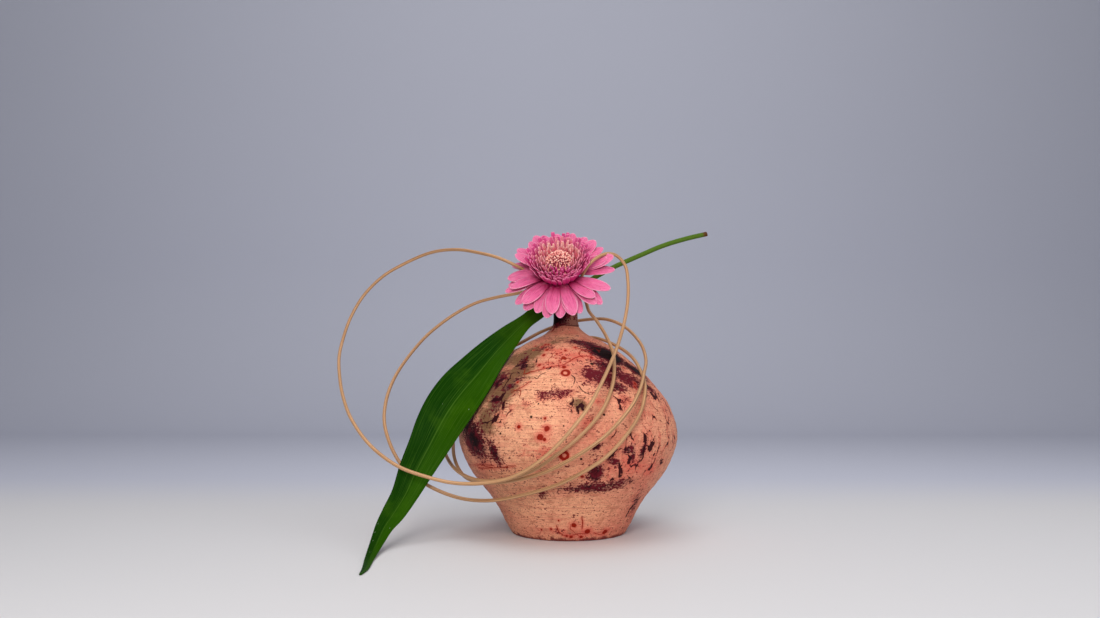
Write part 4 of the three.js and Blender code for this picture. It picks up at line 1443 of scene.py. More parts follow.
@dataclass(frozen=True)
class PetalFinish:
    """Matt pink petals, magenta at the root, with fine lengthwise grooves and pale rims that are a painted
    highlight.

    Those that face inwards near the middle take the inmost colour, and the lip's at their ends.
    """

    name: str
    root: Colour
    body: Colour
    tip: Colour
    rim: Colour
    inmost: Colour
    lip: Colour
    root_end: float
    relief: float = 0.5 * MM
    gloss: float = 0.06

    def material(self) -> bpy.types.Material:
        """Makes the petals' skin.

        Returns:
            The material.
        """
        s = Surface(self.name)
        names = ("along", "across", "tone", "inward")
        along, across, tone, inward = (s.attribute(name) for name in names)
        stripes = s.noise(s.combine(along * 5.0, across * 11.0 + tone * 40.0, tone * 7.0), 1.0)
        mottle = s.noise(s.place(), 210.0)
        grown = s.step(along + 0.12 * stripes, self.root_end / 4, self.root_end)
        s.colour = s.mix(grown, self.root, self.body)
        s.lay(self.tip, 1.0, along, 0.55, 1.0)
        s.coat(self.inmost, s.math("MINIMUM", inward, 0.95) * s.step(along, 0.05, 0.6))
        s.coat(self.lip, s.math("MINIMUM", inward, 1.0) * s.step(along + 0.1 * tone, 0.68, 0.92))
        s.lay(self.root, 0.45, stripes, 0.02, -0.18)
        s.lay(self.tip, 0.25, tone, 0.2, 1.0)
        s.lay(self.rim, 0.15, mottle, 0.0, 0.3)
        # Painted highlight: a pale rim along each petal's edges and round its tip.
        edge = s.step(s.math("ABSOLUTE", across), 0.84, 0.97) * s.step(along, 0.35, 0.7)
        s.coat(self.rim, 0.55 * s.math("MAXIMUM", edge, s.step(along, 0.965, 0.995)))
        fixed = {"Specular IOR Level": self.gloss, "Subsurface Weight": 0.05, "Subsurface Scale": 1.0 * MM}
        return s.finish(0.55 + 0.15 * mottle, s.bump(stripes, self.relief, 0.7), fixed)


@dataclass(frozen=True)
class DiscFinish:
    """Tiny peach florets with pale lips, partly a painted highlight, over deep magenta that is painted
    shade at their feet and between them.
    """

    painted_shade_magenta: Colour = (0.30, 0.014, 0.060)
    peach: Colour = (0.78, 0.215, 0.200)
    lip: Colour = (0.98, 0.600, 0.490)
    relief: float = 0.3 * MM
    gloss: float = 0.35

    def material(self) -> bpy.types.Material:
        """Makes the disc's skin.

        Returns:
            The material.
        """
        s = Surface("disc_florets")
        along, tone = s.attribute("along"), s.attribute("tone")
        mottle = s.noise(s.place(), 520.0)
        # Painted shade: deep magenta at the foot of each floret and on the dome between them, turning peach
        # upwards.
        s.colour = s.mix(s.step(along + 0.3 * mottle, 0.15, 0.8), self.painted_shade_magenta, self.peach)
        # The pale lips are partly the florets' own pale tips and partly a painted highlight.
        s.lay(self.lip, 1.0, along + 0.2 * mottle + 0.15 * tone, 0.75, 1.0)
        fixed = {"Specular IOR Level": self.gloss}
        return s.finish(0.55 + 0.2 * mottle, s.bump(mottle, self.relief, 0.5), fixed)


def tube_recipe() -> Recipe:
    """Makes a round tube along a path, with a slightly uneven thickness.

    Returns:
        The recipe.
    """
    r = Recipe("tube_on_path")
    radius, uneven, spacing = r.inputs("Radius", "Unevenness", "Unevenness Per Metre")
    sides, material = r.input("Sides", Kind.WHOLE), r.input("Material", Kind.MATERIAL)
    path = r.value("GeometryNodeMeshToCurve", None, {"Mesh": r.start})
    run = r.value("GeometryNodeSplineParameter", output="Length")
    path = r.store(path, along=run)
    profile = r.value("GeometryNodeCurvePrimitiveCircle", None, {"Resolution": sides, "Radius": radius})
    profile = r.store(profile, around=r.value("GeometryNodeSplineParameter"))
    swell = 1.0 + uneven * r.noise(r.combine(run * spacing, 0.0, 0.0), 1.0, 2.0)
    sockets = {"Curve": path, "Profile Curve": profile, "Scale": swell, "Fill Caps": True}
    r.end(r.value("GeometryNodeCurveToMesh", None, sockets), material)
    return r


@dataclass(frozen=True)
class Rod:
    """The sizes of a round rod, in millimetres, and how much and how often its thickness varies."""

    radius: float
    uneven: float
    uneven_per_metre: float
    sides: int
    steps: int

    def make(
        self, recipe: Recipe, name: str, route: Knots, material: bpy.types.Material
    ) -> bpy.types.Object:
        """Builds a rod along a route.

        Args:
            recipe: the recipe for a tube on a path.
            name: the piece's name.
            route: the knots of its middle line.
            material: what it is made of.

        Returns:
            The piece.
        """
        values = {
            "Radius": self.radius * MM, "Sides": self.sides, "Unevenness": self.uneven,
            "Unevenness Per Metre": self.uneven_per_metre, "Material": material,
        }
        path = path_mesh(name + "_path", smooth_route(route, self.steps))
        return recipe.make(name, path, values)


@dataclass
class Cane:
    """One springy length of cane, bent into loops, with both ends wedged in the neck."""

    name: str
    node: str
    route: Knots
    material: bpy.types.Material
    recipe: Recipe
    rod: Rod = Rod(radius=1.55, uneven=0.12, uneven_per_metre=25.0, sides=14, steps=6)

    def build(self) -> list[bpy.types.Object]:
        """Builds and dresses the cane."""
        piece = self.rod.make(self.recipe, self.name, self.route, self.material)
        return [dress(piece, "cane", self.node)]


PETAL_SIZES: dict[str, tuple[str, float]] = {
    "First Bearing": ("start", 1), "Root Radius": ("root", MM), "Root Rise": ("rise", MM),
    "Lift": ("lift", 1), "Sag": ("sag", 1), "Length": ("length", MM), "Width": ("width", MM),
    "Camber": ("camber", MM), "Fold": ("fold", MM), "Bluntness": ("blunt", 1), "Tilt": ("tilt", 1),
    "Inward": ("inward", 1), "Parted": ("parted", 1), "Stretch": ("stretch", 1),
    "High Bearing": ("high", 1), "Leafy": ("leafy", 1),
}
PETAL_JITTERS: dict[str, float] = {
    "Bearing Jitter": 1, "Lift Jitter": 1, "Length Jitter": MM, "Roll Jitter": 1,
}


@dataclass(frozen=True)
class Petals:
    """One ring of petals or florets, in millimetres and degrees: how many, and each one's shape.

    They leave the bloom's axis at a root radius and a rise, lift towards their tips and sag
    back along their length. A tilt lifts those at the high bearing and lowers those across,
    and a stretch makes those at the high bearing longer. The jitters are of the bearing, the
    lift, the length and the roll.
    """

    count: int
    start: float
    root: float
    rise: float
    lift: float
    sag: float
    length: float
    width: float
    camber: float = 0.6
    fold: float = 0.0
    blunt: float = 1.0
    tilt: float = 0.0
    inward: float = 0.0
    parted: float = 0.0
    stretch: float = 0.0
    high: float = 65.0
    jitter: tuple[float, float, float, float] = (2.0, 2.0, 1.5, 6.0)
    rows: tuple[int, int] = (14, 9)
    leafy: float = 0.0

    def inputs(self) -> dict[str, Input]:
        """Lists the petal recipe's inputs for this ring.

        Returns:
            The values, by the inputs' names.
        """
        values = {name: getattr(self, held) * scale for name, (held, scale) in PETAL_SIZES.items()}
        values |= {name: size * scale for (name, scale), size in zip(PETAL_JITTERS.items(), self.jitter)}
        return values | {"Count": self.count, "Rows Along": self.rows[0], "Rows Across": self.rows[1]}


@dataclass(frozen=True)
class PetalRing:
    """The geometry tree for one ring of petals, in the bloom's own frame.

    The gaps are those in which a cane parts the petals: bearing, half width and reach of each.
    A petal is widest at a share of its length, and its lift is reached at another.
    """

    gaps: Knots
    widest: float = 0.62
    bent_by: float = 0.25
    narrow: float = 0.34
    roundness: float = 0.55
    least: float = 0.004

    def recipe(self) -> Recipe:
        """Makes the recipe, for use inside another.

        Returns:
            The recipe.
        """
        r = Recipe("petal_ring")
        count, seed = r.inputs("Count", "Seed", kind=Kind.WHOLE)
        rows_along, rows_across = r.inputs("Rows Along", "Rows Across", kind=Kind.WHOLE)
        size = {name: r.input(name) for name in (*PETAL_SIZES, *PETAL_JITTERS)}
        sockets = {"Size X": 1.0, "Size Y": 2.0, "Vertices X": rows_along, "Vertices Y": rows_across}
        flat = r.value("GeometryNodeInputPosition")
        along = r.math("SINE", (r.part(flat, 0) + 0.5) * (math.pi / 2))
        grid = r.store(r.value("GeometryNodeMeshGrid", None, sockets), along=along, across=r.part(flat, 1))
        sockets = {"Points": self.points(r, count, seed, size), "Instance": grid}
        petals = r.realized(r.value("GeometryNodeInstanceOnPoints", None, sockets))
        r.end(r.moved(petals, self.shape(r, size)))
        return r

    def parted(self, r: Recipe, bearing: Value, share: Value) -> Value:
        """Turns petals aside where a cane passes between them.

        Args:
            r: the recipe.
            bearing: each petal's bearing, in degrees.
            share: 1 in a ring that is parted, and 0 in one that isn't.

        Returns:
            The new bearings.
        """
        for middle, half, reach in self.gaps:
            off = r.math("FLOORED_MODULO", bearing + (180.0 - middle), 360.0) - 180.0
            away = r.math("ABSOLUTE", off)
            beside = middle + r.math("SIGN", off) * (half + away * ((reach - half) / reach))
            bearing = bearing + r.math("LESS_THAN", away, reach) * share * (beside - off - middle)
        return bearing

    def points(self, r: Recipe, count: Value, seed: Value, size: dict[str, Value]) -> Value:
        """Makes one point for each petal, which holds what is the petal's own.

        Args:
            r: the recipe.
            count: how many petals there are.
            seed: what their random differences start from.
            size: the recipe's sizes.

        Returns:
            The points.
        """
        index = r.value("GeometryNodeInputIndex")
        bearing = size["First Bearing"] + index * (360.0 / count)
        bearing = bearing + r.jitter(index, seed, size["Bearing Jitter"])
        bearing = self.parted(r, bearing, size["Parted"])
        upward = r.math("COSINE", (bearing - size["High Bearing"]) * DEGREE)
        lift = size["Lift"] + size["Tilt"] * upward + r.jitter(index, seed + 1, size["Lift Jitter"])
        sag = size["Sag"] + r.jitter(index, seed + 2, size["Lift Jitter"])
        length = size["Length"] * (1.0 + size["Stretch"] * upward)
        return r.store(
            r.value("GeometryNodePoints", None, {"Count": count}),
            bearing=bearing * DEGREE,
            lift=lift * DEGREE,
            sag=sag * DEGREE,
            length=length + r.jitter(index, seed + 3, size["Length Jitter"]),
            roll=r.jitter(index, seed + 4, size["Roll Jitter"]) * DEGREE,
            sway=r.jitter(index, seed + 5, size["Length Jitter"]),
            tone=r.jitter(index, seed + 6, 1.0),
            inward=size["Inward"] * (0.45 + 0.55 * upward),
            leafy=size["Leafy"],
        )

    def shape(self, r: Recipe, size: dict[str, Value]) -> Value:
        """Works out where the points of the flat petals go.

        Args:
            r: the recipe.
            size: the recipe's sizes.

        Returns:
            Their new places.
        """
        names = ("along", "across", "bearing", "lift", "sag", "length", "roll", "sway")
        s, t, bearing, lift, sag, length, roll, sway = (r.held(name) for name in names)
        out = s * size["Bluntness"]
        swell = r.math("SINE", r.math("MINIMUM", out * (1 / self.widest), 1.0) * (math.pi / 2))
        past = r.math("MAXIMUM", out - self.widest, 0.0) * (1 / (1 - self.widest))
        ended = r.math("MAXIMUM", 1.0 - past * past, self.least) ** self.roundness
        width = (self.narrow + (1 - self.narrow) * swell) * ended
        half = size["Width"] * 0.5 * width
        early = r.math("MINIMUM", s, self.bent_by)
        bent = early * early * (0.5 / self.bent_by) + r.math("MAXIMUM", s - self.bent_by, 0.0)
        chord = lift * (bent / r.math("MAXIMUM", s, self.least / 4)) - sag * s * 0.5
        slope = lift * r.math("MINIMUM", s * (1 / self.bent_by), 1.0) - sag * s
        folded = size["Fold"] * r.math("COSINE", t * (2 * math.pi)) * width
        proud = folded - size["Camber"] * t * t * width + t * half * r.math("TANGENT", roll)
        reach, climb = (length * s * r.math(wave, chord) for wave in ("COSINE", "SINE"))
        radius = size["Root Radius"] + reach - proud * r.math("SINE", slope)
        height = size["Root Rise"] + climb + proud * r.math("COSINE", slope)
        side = t * half + sway * s * s
        cos, sin = r.math("COSINE", bearing), r.math("SINE", bearing)
        return r.combine(radius * cos - side * sin, radius * sin + side * cos, height)


def bloom_recipe(name: str, rings: list[Petals], petal: Recipe) -> Recipe:
    """Makes several rings of petals, puts them at the bloom's place and keeps them clear of a cane.

    Args:
        name: the recipe's name.
        rings: the rings.
        petal: the recipe for one ring.

    Returns:
        The recipe.
    """
    r = Recipe(name)
    centre, turn = r.input("Centre", Kind.POINT), r.input("Turn", Kind.TURN)
    cane, clearance = r.input("Cane", Kind.OBJECT), r.input("Clearance")
    seed, material = r.input("Seed", Kind.WHOLE), r.input("Material", Kind.MATERIAL)
    parts = [
        r.use(petal, ring.inputs() | {"Seed": seed + SEEDS_PER_RING * k}) for k, ring in enumerate(rings)
    ]
    sockets = {"Geometry": r.join(r.start, *parts), "Translation": centre, "Rotation": turn}
    whole = r.value("GeometryNodeTransform", None, sockets)
    path = r.value("GeometryNodeObjectInfo", {"transform_space": "RELATIVE"}, {"Object": cane}, "Geometry")
    near = r.node("GeometryNodeProximity", {"target_element": "EDGES"}, {0: path})
    here = r.value("GeometryNodeInputPosition")
    off = r.vector_math("SUBTRACT", here, Value(r, near.outputs["Position"]))
    shove = r.math("MAXIMUM", clearance - Value(r, near.outputs["Distance"]), 0.0)
    sockets = {"Vector": r.vector_math("NORMALIZE", off), "Scale": shove}
    push = r.value("ShaderNodeVectorMath", {"operation": "SCALE"}, sockets)
    r.end(r.value("GeometryNodeSetPosition", None, {"Geometry": whole, "Offset": push}), material)
    return r


@dataclass(frozen=True)
class FloretDome:
    """The geometry tree for a dome of tiny lipped florets, set on a golden-angle spiral.

    The spread is how far round the dome the outermost floret stands, and the splay how far it
    leans out. Each jitter is the most that a floret differs by. Its foot, belly and flare are
    in its radii, and the dish in its mouth in its lengths.
    """

    spread: float = 82 * DEGREE
    splay: float = 66 * DEGREE
    upright: float = 0.75
    bearing_jitter: float = 0.15
    splay_jitter: float = 0.28
    size_jitter: float = 0.22
    foot: float = 0.5
    belly: float = 1.5
    flare: float = 0.12
    dish: float = 0.1
    lobes: float = 5.0
    lobe_depth: float = 0.28
    sides: int = 8
    rows: int = 4

    def recipe(self) -> Recipe:
        """Makes the recipe.

        Returns:
            The recipe.
        """
        r = Recipe("floret_dome")
        count, seed = r.inputs("Count", "Seed", kind=Kind.WHOLE)
        radius, shoulder, top, floret_radius, floret_length, lean = r.inputs(
            "Radius", "Shoulder", "Top", "Floret Radius", "Floret Length", "Lean"
        )
        centre, turn = r.input("Centre", Kind.POINT), r.input("Turn", Kind.TURN)
        material = r.input("Material", Kind.MATERIAL)
        index = r.value("GeometryNodeInputIndex")
        share = r.math("SQRT", (index + 0.5) / count)
        bearing = index * GOLDEN_ANGLE + r.jitter(index, seed, self.bearing_jitter)
        tilt = share * self.splay + r.jitter(index, seed + 1.0, self.splay_jitter)
        out = radius * r.math("SINE", share * self.spread)
        high = shoulder + (top - shoulder) * r.math("COSINE", share * self.spread)
        place = r.combine(out * r.math("COSINE", bearing), out * r.math("SINE", bearing), high)
        points = r.value("GeometryNodePoints", None, {"Count": count, "Position": place})
        euler = r.combine(0.0, tilt * (self.upright + lean), bearing)
        sockets = {
            "Points": r.store(points, tone=r.jitter(index, seed + 2.0, 1.0)),
            "Instance": self.floret(r, floret_radius, floret_length),
            "Rotation": r.value("FunctionNodeEulerToRotation", None, {0: euler}),
            "Scale": 1.0 + r.jitter(index, seed + 3.0, self.size_jitter),
        }
        florets = r.realized(r.value("GeometryNodeInstanceOnPoints", None, sockets))
        sockets = {"Geometry": r.join(r.start, florets), "Translation": centre, "Rotation": turn}
        r.end(r.value("GeometryNodeTransform", None, sockets), material)
        return r

    def floret(self, r: Recipe, radius: Value, length: Value) -> Value:
        """Makes one floret, a small tube that swells in the middle and ends in lobes round its mouth.

        Args:
            r: the recipe.
            radius: its radius.
            length: its length.

        Returns:
            The floret.
        """
        sockets = {"Vertices": self.sides, "Side Segments": self.rows, "Radius": 1.0, "Depth": 1.0}
        sockets["Fill Segments"] = 1
        tube = r.value("GeometryNodeMeshCylinder", {"fill_type": "TRIANGLE_FAN"}, sockets)
        flat = r.value("GeometryNodeInputPosition")
        x, y, z = (r.part(flat, axis) for axis in range(3))
        up = z + 0.5
        rim = r.math("SQRT", x * x + y * y)
        lobed = 1.0 + self.lobe_depth * r.math("COSINE", self.lobes * r.math("ARCTAN2", y, x)) * up
        wide = (self.foot + self.belly * up * (1.0 - up) + self.flare * up) * lobed * radius
        deep = up * length * (1.0 - self.dish * r.step(rim, 0.5, 0.0) * r.step(up, 0.9, 1.0))
        tube = r.store(tube, along=up * r.step(rim, -0.6, 0.7))
        return r.moved(tube, r.combine(x * wide, y * wide, deep))


RAY: Shape = {"fold": 0.3, "tilt": 12, "parted": 1.0, "jitter": (4, 4, 2.5, 10)}
UPPER_RAY: Shape = {"fold": 0.35, "tilt": 14, "parted": 1.0, "high": 95, "jitter": (4, 4, 3, 12)}
FLORET: Shape = {"blunt": 0.9, "high": 95.0, "jitter": (4.0, 6.0, 1.4, 22.0), "rows": (7, 4)}
BUD: Shape = {"blunt": 0.9, "high": 95.0, "jitter": (4.0, 8.0, 2.4, 26.0), "rows": (6, 4)}
BRACT: Shape = {"camber": 0.4, "blunt": 0.98, "leafy": 1.0, "jitter": (2, 3, 0.5, 4), "rows": (7, 5)}


@dataclass
class Gerbera:
    """One gerbera: its stem, calyx and bracts, ray petals, inner florets and peach disc.

    Its sizes are in millimetres. The hoop is the route of the cane that passes through its petals.
    """

    hoop: Knots
    tube: Recipe
    centre: tuple[float, float, float] = (-8.4, -24, 237.6)
    tilt: float = 52
    turn: float = -3.6
    clearance: float = 2.1
    petal_thick: float = 0.5
    petal: PetalRing = PetalRing([(-7, 12, 45), (165, 7, 30)])
    dome: FloretDome = FloretDome()
    stem: Knots = field(default_factory=lambda: [
        (5, 3, 30), (4, 2, 80), (1, 1, 125), (-2, 0, 160), (-3, 0, 190), (-4, -1, 207), (-5, -4, 217),
        (-7, -8, 224),
    ])
    stem_rod: Rod = Rod(radius=2.8, uneven=0.08, uneven_per_metre=40.0, sides=20, steps=8)
    stem_end: float = -11
    guide_steps: int = 4
    body_sides: int = 40
    rays: list[Petals] = field(default_factory=lambda: [
        Petals(13, 22, 12.5, -0.75, 2, 12, 37, 12.6, 0.5, **RAY),
        Petals(13, 8, 12.5, 0.1, 7, 12, 38.5, 13.6, 0.5, **RAY),
        Petals(12, 17, 12.5, 0.9, 15, 16, 35, 13.6, 0.6, **UPPER_RAY),
    ])
    florets: list[Petals] = field(default_factory=lambda: [
        Petals(29, 0, 15.4, 0.8, 52, -8, 20.8, 4.6, -0.5, tilt=-14, stretch=0.30, **FLORET),
        Petals(29, 7, 15.0, 1.6, 57, -8, 19.0, 4.3, -0.5, tilt=-13, stretch=0.30, **FLORET),
        Petals(28, 3, 14.6, 2.4, 62, -6, 17.5, 4.0, -0.4, tilt=-12, stretch=0.30, inward=0.1, **FLORET),
        Petals(27, 9, 14.1, 3.2, 66, -6, 16.5, 3.7, -0.4, tilt=-11, stretch=0.30, inward=0.3, **FLORET),
        Petals(29, 0, 13.4, 4.2, 71, -4, 15.0, 3.0, -0.3, tilt=-9, stretch=0.28, inward=0.9, **BUD),
        Petals(30, 5, 12.6, 5.2, 76, -2, 14.5, 2.4, -0.3, tilt=-7, stretch=0.20, inward=1.4, **BUD),
        Petals(30, 2, 12.0, 8.0, 80, 0, 11.5, 2.0, -0.3, tilt=-5, stretch=0.14, inward=1.9, **BUD),
        Petals(28, 9, 11.3, 11.0, 84, 0, 9.0, 1.8, -0.3, tilt=-3, stretch=0.08, inward=2.2, **BUD),
    ])
    bracts: list[Petals] = field(default_factory=lambda: [
        Petals(13, 0, 6.4, -12.4, 48, -10, 10, 3.6, **BRACT),
        Petals(15, 12, 9.8, -9.2, 48, -10, 7, 3.6, **BRACT),
    ])
    receptacle: Outline = field(default_factory=lambda: [
        (0, -1.4), (15, -1.4), (16, -0.4), (15.7, 1), (15, 2.6), (13.8, 5), (12.4, 8), (11, 8.6), (0, 8.6),
    ])
    calyx: Outline = field(default_factory=lambda: [
        (0, -15), (4, -15), (8, -11.5), (12, -7), (14, -4), (13.2, -2.2), (11, -1.7), (0, -1.7),
    ])
    ray_seed: int = 41
    floret_seed: int = 83
    bract_seed: int = 17
    disc_seed: int = 7
    disc_radius: float = 11.0
    disc_foot: float = 1.4
    disc_shoulder: float = 8.0
    disc_top: float = 22.0
    disc_steps: int = 8
    disc_count: int = 300
    disc_lean: float = 0.1
    floret_radius: float = 0.8
    floret_length: float = 3.4
    floret_out: float = 0.4
    floret_low: float = 2.0
    floret_sunk: float = 0.6
    petal_finish: PetalFinish = PetalFinish(
        "ray_petals", (0.26, 0.002, 0.045), (0.66, 0.105, 0.255), (0.74, 0.175, 0.335),
        (0.90, 0.48, 0.60), (0.85, 0.4, 0.5), (0.93, 0.6, 0.6), 0.5,
    )
    floret_finish: PetalFinish = PetalFinish(
        "inner_florets", (0.19, 0.001, 0.028), (0.56, 0.014, 0.155), (0.71, 0.092, 0.28),
        (0.90, 0.32, 0.45), (0.88, 0.22, 0.26), (0.98, 0.56, 0.45), 0.6,
    )
    disc_finish: DiscFinish = DiscFinish()
    stem_finish: StemFinish = StemFinish()

    def build(self) -> list[bpy.types.Object]:
        """Builds and dresses the whole flower.

        Returns:
            Its pieces.
        """
        pink, green = self.floret_finish.material(), self.stem_finish.material()
        guide = linked("hoop_guide", path_mesh("hoop_guide", smooth_route(self.hoop, self.guide_steps)))
        petal = self.petal.recipe()
        rays, florets, bracts = (
            self.rings(name, rings, petal, {"Cane": guide, "Material": material, "Seed": seed})
            for name, rings, material, seed in (
                ("ray_petals", self.rays, self.petal_finish.material(), self.ray_seed),
                ("inner_florets", self.florets, pink, self.floret_seed),
                ("bracts", self.bracts, green, self.bract_seed),
            )
        )
        bpy.data.objects.remove(guide)
        return [
            dress(rays, "petal_pink", "gerbera_rays"),
            dress(florets, "floret_pink", "gerbera_inner_florets"),
            dress(bracts, "stem_green", "gerbera_stem"),
            dress(self.placed("receptacle", self.receptacle, 0.0, pink), "floret_pink"),
            dress(self.disc(), "disc_peach", "gerbera_disc"),
            dress(self.placed("calyx", self.calyx, 0.2, green), "stem_green"),
            dress(self.stalk(green), "stem_green"),
        ]

    def place(self) -> dict[str, Input]:
        """The recipe inputs that put a piece at the bloom's place."""
        turn = [self.tilt * DEGREE, 0.0, self.turn * DEGREE]
        return {"Centre": [c * MM for c in self.centre], "Turn": turn}

    def matrix(self) -> Matrix:
        """The bloom's place as a matrix."""
        place = self.place()
        return Matrix.LocRotScale(Vector(place["Centre"]), Euler(place["Turn"], "XYZ"), None)

    def rings(
        self, name: str, rings: list[Petals], petal: Recipe, values: dict[str, Input]
    ) -> bpy.types.Object:
        """Builds rings of petals as one piece.

        Args:
            name: the piece's name.
            rings: the rings.
            petal: the recipe for one ring.
            values: the material, the seed, and the cane that they stay clear of.

        Returns:
            The piece.
        """
        values = self.place() | values | {"Clearance": self.clearance * MM}
        recipe = bloom_recipe(name, rings, petal)
        return recipe.make(name, bpy.data.meshes.new("nothing"), values, self.petal_thick * MM)

    def body(self, name: str, profile: Outline, along: float) -> bpy.types.Mesh:
        """A turned part in the bloom's own frame, coloured as a petal is at a share of its length."""
        points, faces = turned(np.array(profile, float) * MM, self.body_sides)
        return mesh_of(name, points, faces, {"along": np.full(len(points), along)})

    def placed(
        self, name: str, profile: Outline, along: float, material: bpy.types.Material
    ) -> bpy.types.Object:
        """Builds a turned piece at the bloom's place.

        Args:
            name: the piece's name.
            profile: radius and height of each ring, outside upwards.
            along: where on a petal's length it takes its colour from.
            material: what it is made of.

        Returns:
            The piece.
        """
        mesh = self.body(name, profile, along)
        mesh.transform(self.matrix())
        mesh.materials.append(material)
        return linked(name, mesh)

    def disc(self) -> bpy.types.Object:
        """Builds the dome of peach florets.

        Returns:
            The piece.
        """
        reach = self.disc_top - self.disc_shoulder
        dome = [
            (self.disc_radius * math.cos(a), self.disc_shoulder + reach * math.sin(a))
            for a in np.linspace(0, math.pi / 2, self.disc_steps, endpoint=False)
        ]
        profile = [(0, self.disc_foot), (self.disc_radius, self.disc_foot), *dome, (0, self.disc_top)]
        values = {
            "Count": self.disc_count, "Seed": self.disc_seed,
            "Radius": (self.disc_radius + self.floret_out) * MM,
            "Shoulder": (self.disc_shoulder - self.floret_low) * MM,
            "Top": (self.disc_top - self.floret_sunk) * MM, "Lean": self.disc_lean,
            "Floret Radius": self.floret_radius * MM, "Floret Length": self.floret_length * MM,
            "Material": self.disc_finish.material(),
        }
        # At 0.1 along, the dome under the florets takes the disc's painted shade.
        body = self.body("dome", profile, 0.1)
        return self.dome.recipe().make("peach_disc", body, self.place() | values)

    def stalk(self, material: bpy.types.Material) -> bpy.types.Object:
        """Builds the stem, from its foot in the water up into the calyx."""
        end = self.matrix() @ Vector((0, 0, self.stem_end * MM))
        return self.stem_rod.make(self.tube, "flower_stem", self.stem + [tuple(end / MM)], material)


@dataclass(frozen=True)
class Lamp:
    """A soft square light, in metres and watts: where it stands, how wide it is and what it faces."""

    name: str
    place: tuple[float, float, float]
    size: float
    power: float
    colour: Colour
    target: tuple[float, float, float] = (0.0, 0.0, 0.12)

    def build(self) -> None:
        """Adds the light."""
        data = bpy.data.lights.new(self.name, "AREA")
        data.energy = self.power
        data.size = self.size
        data.color = self.colour
        lamp = linked(self.name, data)
        lamp.location = self.place
        ray = Vector(self.target) - Vector(self.place)
        lamp.rotation_euler = ray.to_track_quat("-Z", "Y").to_euler()


@dataclass
class Studio:
    """A plain pale floor that sweeps up into a soft grey backdrop, with soft lights and a camera."""

    pale: Colour = (0.68, 0.665, 0.67)
    grey: Colour = (0.60, 0.61, 0.70)
    air: Colour = (0.62, 0.64, 0.70)
    air_strength: float = 0.3
    lamps: tuple[Lamp, ...] = (
        Lamp("key", (-0.2, -1.2, 0.55), 0.45, 9.0, (1.0, 0.98, 0.95)),
        Lamp("fill", (1.1, -0.8, 0.5), 1.0, 4.8, (0.97, 0.98, 1.0)),
        Lamp("top", (0.1, 0.1, 1.3), 1.0, 3.0, (1.0, 1.0, 1.0)),
        Lamp("backdrop", (0.0, -0.6, 2.6), 2.4, 35.0, (1.0, 1.0, 1.0), (0.0, 2.2, 0.9)),
    )
    half_width: float = 5.0
    front: float = -3.0
    bend_start: float = 1.6
    bend_radius: float = 0.6
    bend_points: int = 16
    fade: tuple[float, float] = (0.1, 0.5)
    top: float = 4.0
    lens: float = 26.84
    sensor: float = 36.0
    camera_place: tuple[float, float, float] = (-0.0172, -0.777, 0.1307)
    camera_pitch: float = 95.6

    def build(self) -> None:
        """Builds the floor, the lights and the camera."""
        self.floor()
        for lamp in self.lamps:
            lamp.build()
        world = bpy.data.worlds.new("studio")
        world.use_nodes = True
        background = world.node_tree.nodes["Background"].inputs
        background["Color"].default_value = (*self.air, 1.0)
        background["Strength"].default_value = self.air_strength
        bpy.context.scene.world = world
        bpy.context.scene.view_settings.view_transform = "Standard"
        self.camera()

    def camera(self) -> None:
        """Adds the camera."""
        data = bpy.data.cameras.new("camera")
        data.lens = self.lens
        data.sensor_width = self.sensor
        camera = linked("camera", data)
        camera.location = self.camera_place
        camera.rotation_euler = (self.camera_pitch * DEGREE, 0.0, 0.0)
        bpy.context.scene.camera = camera

    def floor(self) -> None:
        """Builds the floor and backdrop as one swept sheet."""
        start, radius = self.bend_start, self.bend_radius
        angles = np.linspace(0, math.pi / 2, self.bend_points)
        bend = [(start + radius * math.sin(a), radius - radius * math.cos(a)) for a in angles]
        rows = [(self.front, 0.0), (0.0, 0.0), *bend, (start + radius, self.top)]
        points = np.array([(x, y, z) for y, z in rows for x in (-self.half_width, self.half_width)])
        faces = [(2 * k, 2 * k + 1, 2 * k + 3, 2 * k + 2) for k in range(len(rows) - 1)]
        piece = linked("studio_floor", mesh_of("studio_floor", points, faces))
        s = Surface("studio_paper")
        place = s.place()
        s.colour = s.mix(s.step(s.part(place, 1), *self.fade), self.pale, self.grey)
        tooth = s.noise(place, 300.0, 2.0)
        piece.data.materials.append(s.finish(0.7 + 0.1 * tooth, s.bump(tooth, 0.1 * MM, 0.1)))


HOOP_ROUTE: Knots = [
    (3, 4, 170), (3, 3, 190), (3, 3, 209), (4, -1, 221), (7, -10, 229), (11, -22, 233), (14, -30, 238),
    (18, -33, 244), (25, -28, 251), (36, -19, 257), (46, -12, 256), (54, -9, 247), (56, -13, 232),
    (55, -21, 213), (51, -33, 194), (46, -47, 179), (39, -66, 162), (22, -103, 130), (12, -114, 114),
    (-7, -118, 91), (-25, -112, 74), (-47, -100, 60), (-69, -90, 54), (-97, -82, 53), (-122, -78, 58),
    (-146, -73, 66), (-172, -60, 82), (-195, -36, 104), (-208, -14, 122), (-217, 6, 140), (-223, 24, 162),
    (-223, 37, 180), (-218, 45, 202), (-206, 48, 225), (-187, 46, 244), (-163, 40, 257), (-135, 28, 266),
    (-108, 11, 266), (-84, -5, 260), (-66, -14, 254), (-49, -17, 246), (-36, -8, 240), (-24, 1, 232),
    (-14, 3, 223), (-9, 2, 213), (-8, 2, 203), (-8, 2, 170),
]
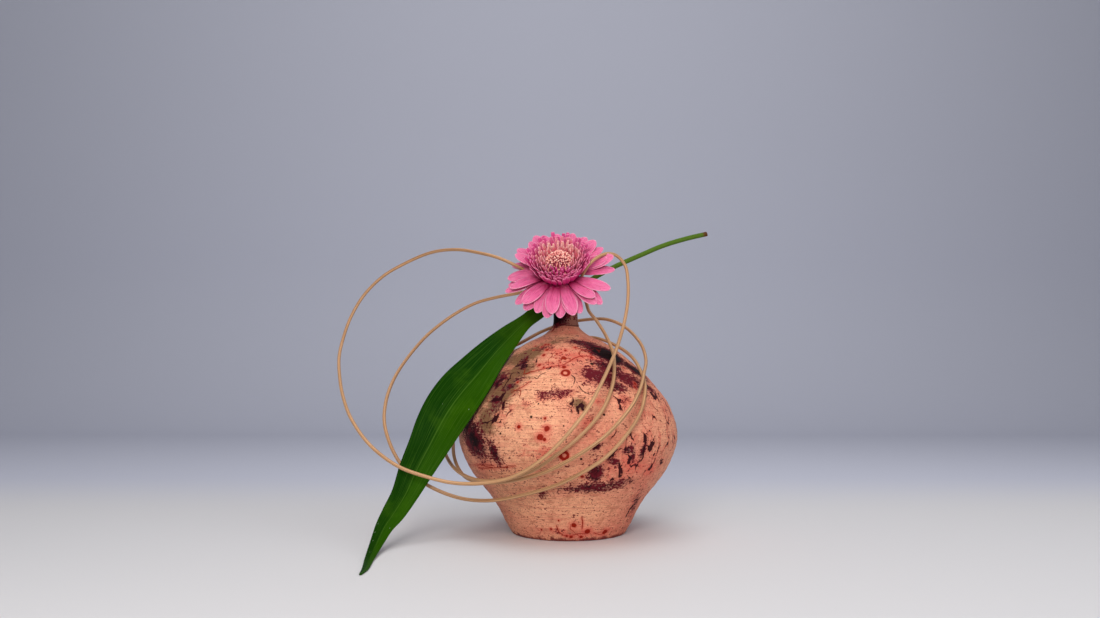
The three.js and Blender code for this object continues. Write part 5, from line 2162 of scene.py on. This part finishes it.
SPIRAL_ROUTE: Knots = [
    (0, -5, 172), (0, -5, 190), (0, -5, 205), (1, -5, 213), (3, -6, 219), (7, -9, 222), (12, -13, 221),
    (16, -17, 213), (19, -19, 203), (25, -21, 195), (33, -25, 182), (39, -36, 166), (39, -59, 151),
    (35, -81, 132), (24, -99, 111), (5, -106, 91), (-16, -104, 75), (-35, -97, 63), (-66, -76, 54),
    (-90, -50, 55), (-107, -26, 64), (-118, -7, 84), (-119, 8, 107), (-107, 18, 134), (-86, 20, 155),
    (-62, 18, 168), (-45, 18, 176), (-25, 22, 187), (-3, 25, 195), (19, 26, 199), (38, 23, 199),
    (55, 14, 191), (68, -1, 175), (71, -21, 159), (66, -49, 145), (60, -71, 131), (48, -97, 114),
    (27, -109, 93), (2, -108, 76), (-23, -99, 63), (-45, -86, 56), (-63, -71, 52), (-79, -56, 51),
    (-93, -39, 54), (-105, -14, 68), (-108, 4, 88), (-105, 18, 113), (-88, 30, 141), (-65, 32, 161),
    (-43, 33, 172), (-8, 40, 180), (22, 33, 182), (34, 23, 179), (45, 8, 173), (54, -7, 166),
    (61, -27, 156), (66, -47, 140), (65, -65, 129), (59, -83, 112), (47, -95, 95), (28, -103, 76),
    (3, -99, 60), (-13, -92, 52), (-35, -80, 44), (-68, -62, 36), (-97, -51, 37), (-127, -49, 49),
    (-148, -49, 66), (-164, -38, 95), (-168, -20, 118), (-163, 4, 145), (-143, 30, 179), (-127, 38, 195),
    (-109, 41, 208), (-91, 40, 217), (-70, 34, 222), (-50, 27, 225), (-33, 20, 228), (-19, 12, 229),
    (-10, 7, 225), (-6, 6, 216), (-4, 6, 206), (-2, 6, 170),
]


def main() -> None:
    """Builds every piece of the arrangement, in order."""
    logging.basicConfig(level=logging.INFO, format="%(message)s", stream=sys.stdout)
    Studio().build()
    tube, cane = tube_recipe(), CaneFinish().material()
    makers = (
        Vase(),
        Water(),
        LongLeaf(),
        Cane("hoop_cane", "cane_hoop", HOOP_ROUTE, cane, tube),
        Cane("spiral_cane", "cane_spiral", SPIRAL_ROUTE, cane, tube),
        Gerbera(HOOP_ROUTE, tube),
    )
    for maker in makers:
        for piece in maker.build():
            mesh = piece.data
            LOG.info("%s: %d points, %d faces", piece.name, len(mesh.vertices), len(mesh.polygons))


if __name__ == "__main__":
    main()
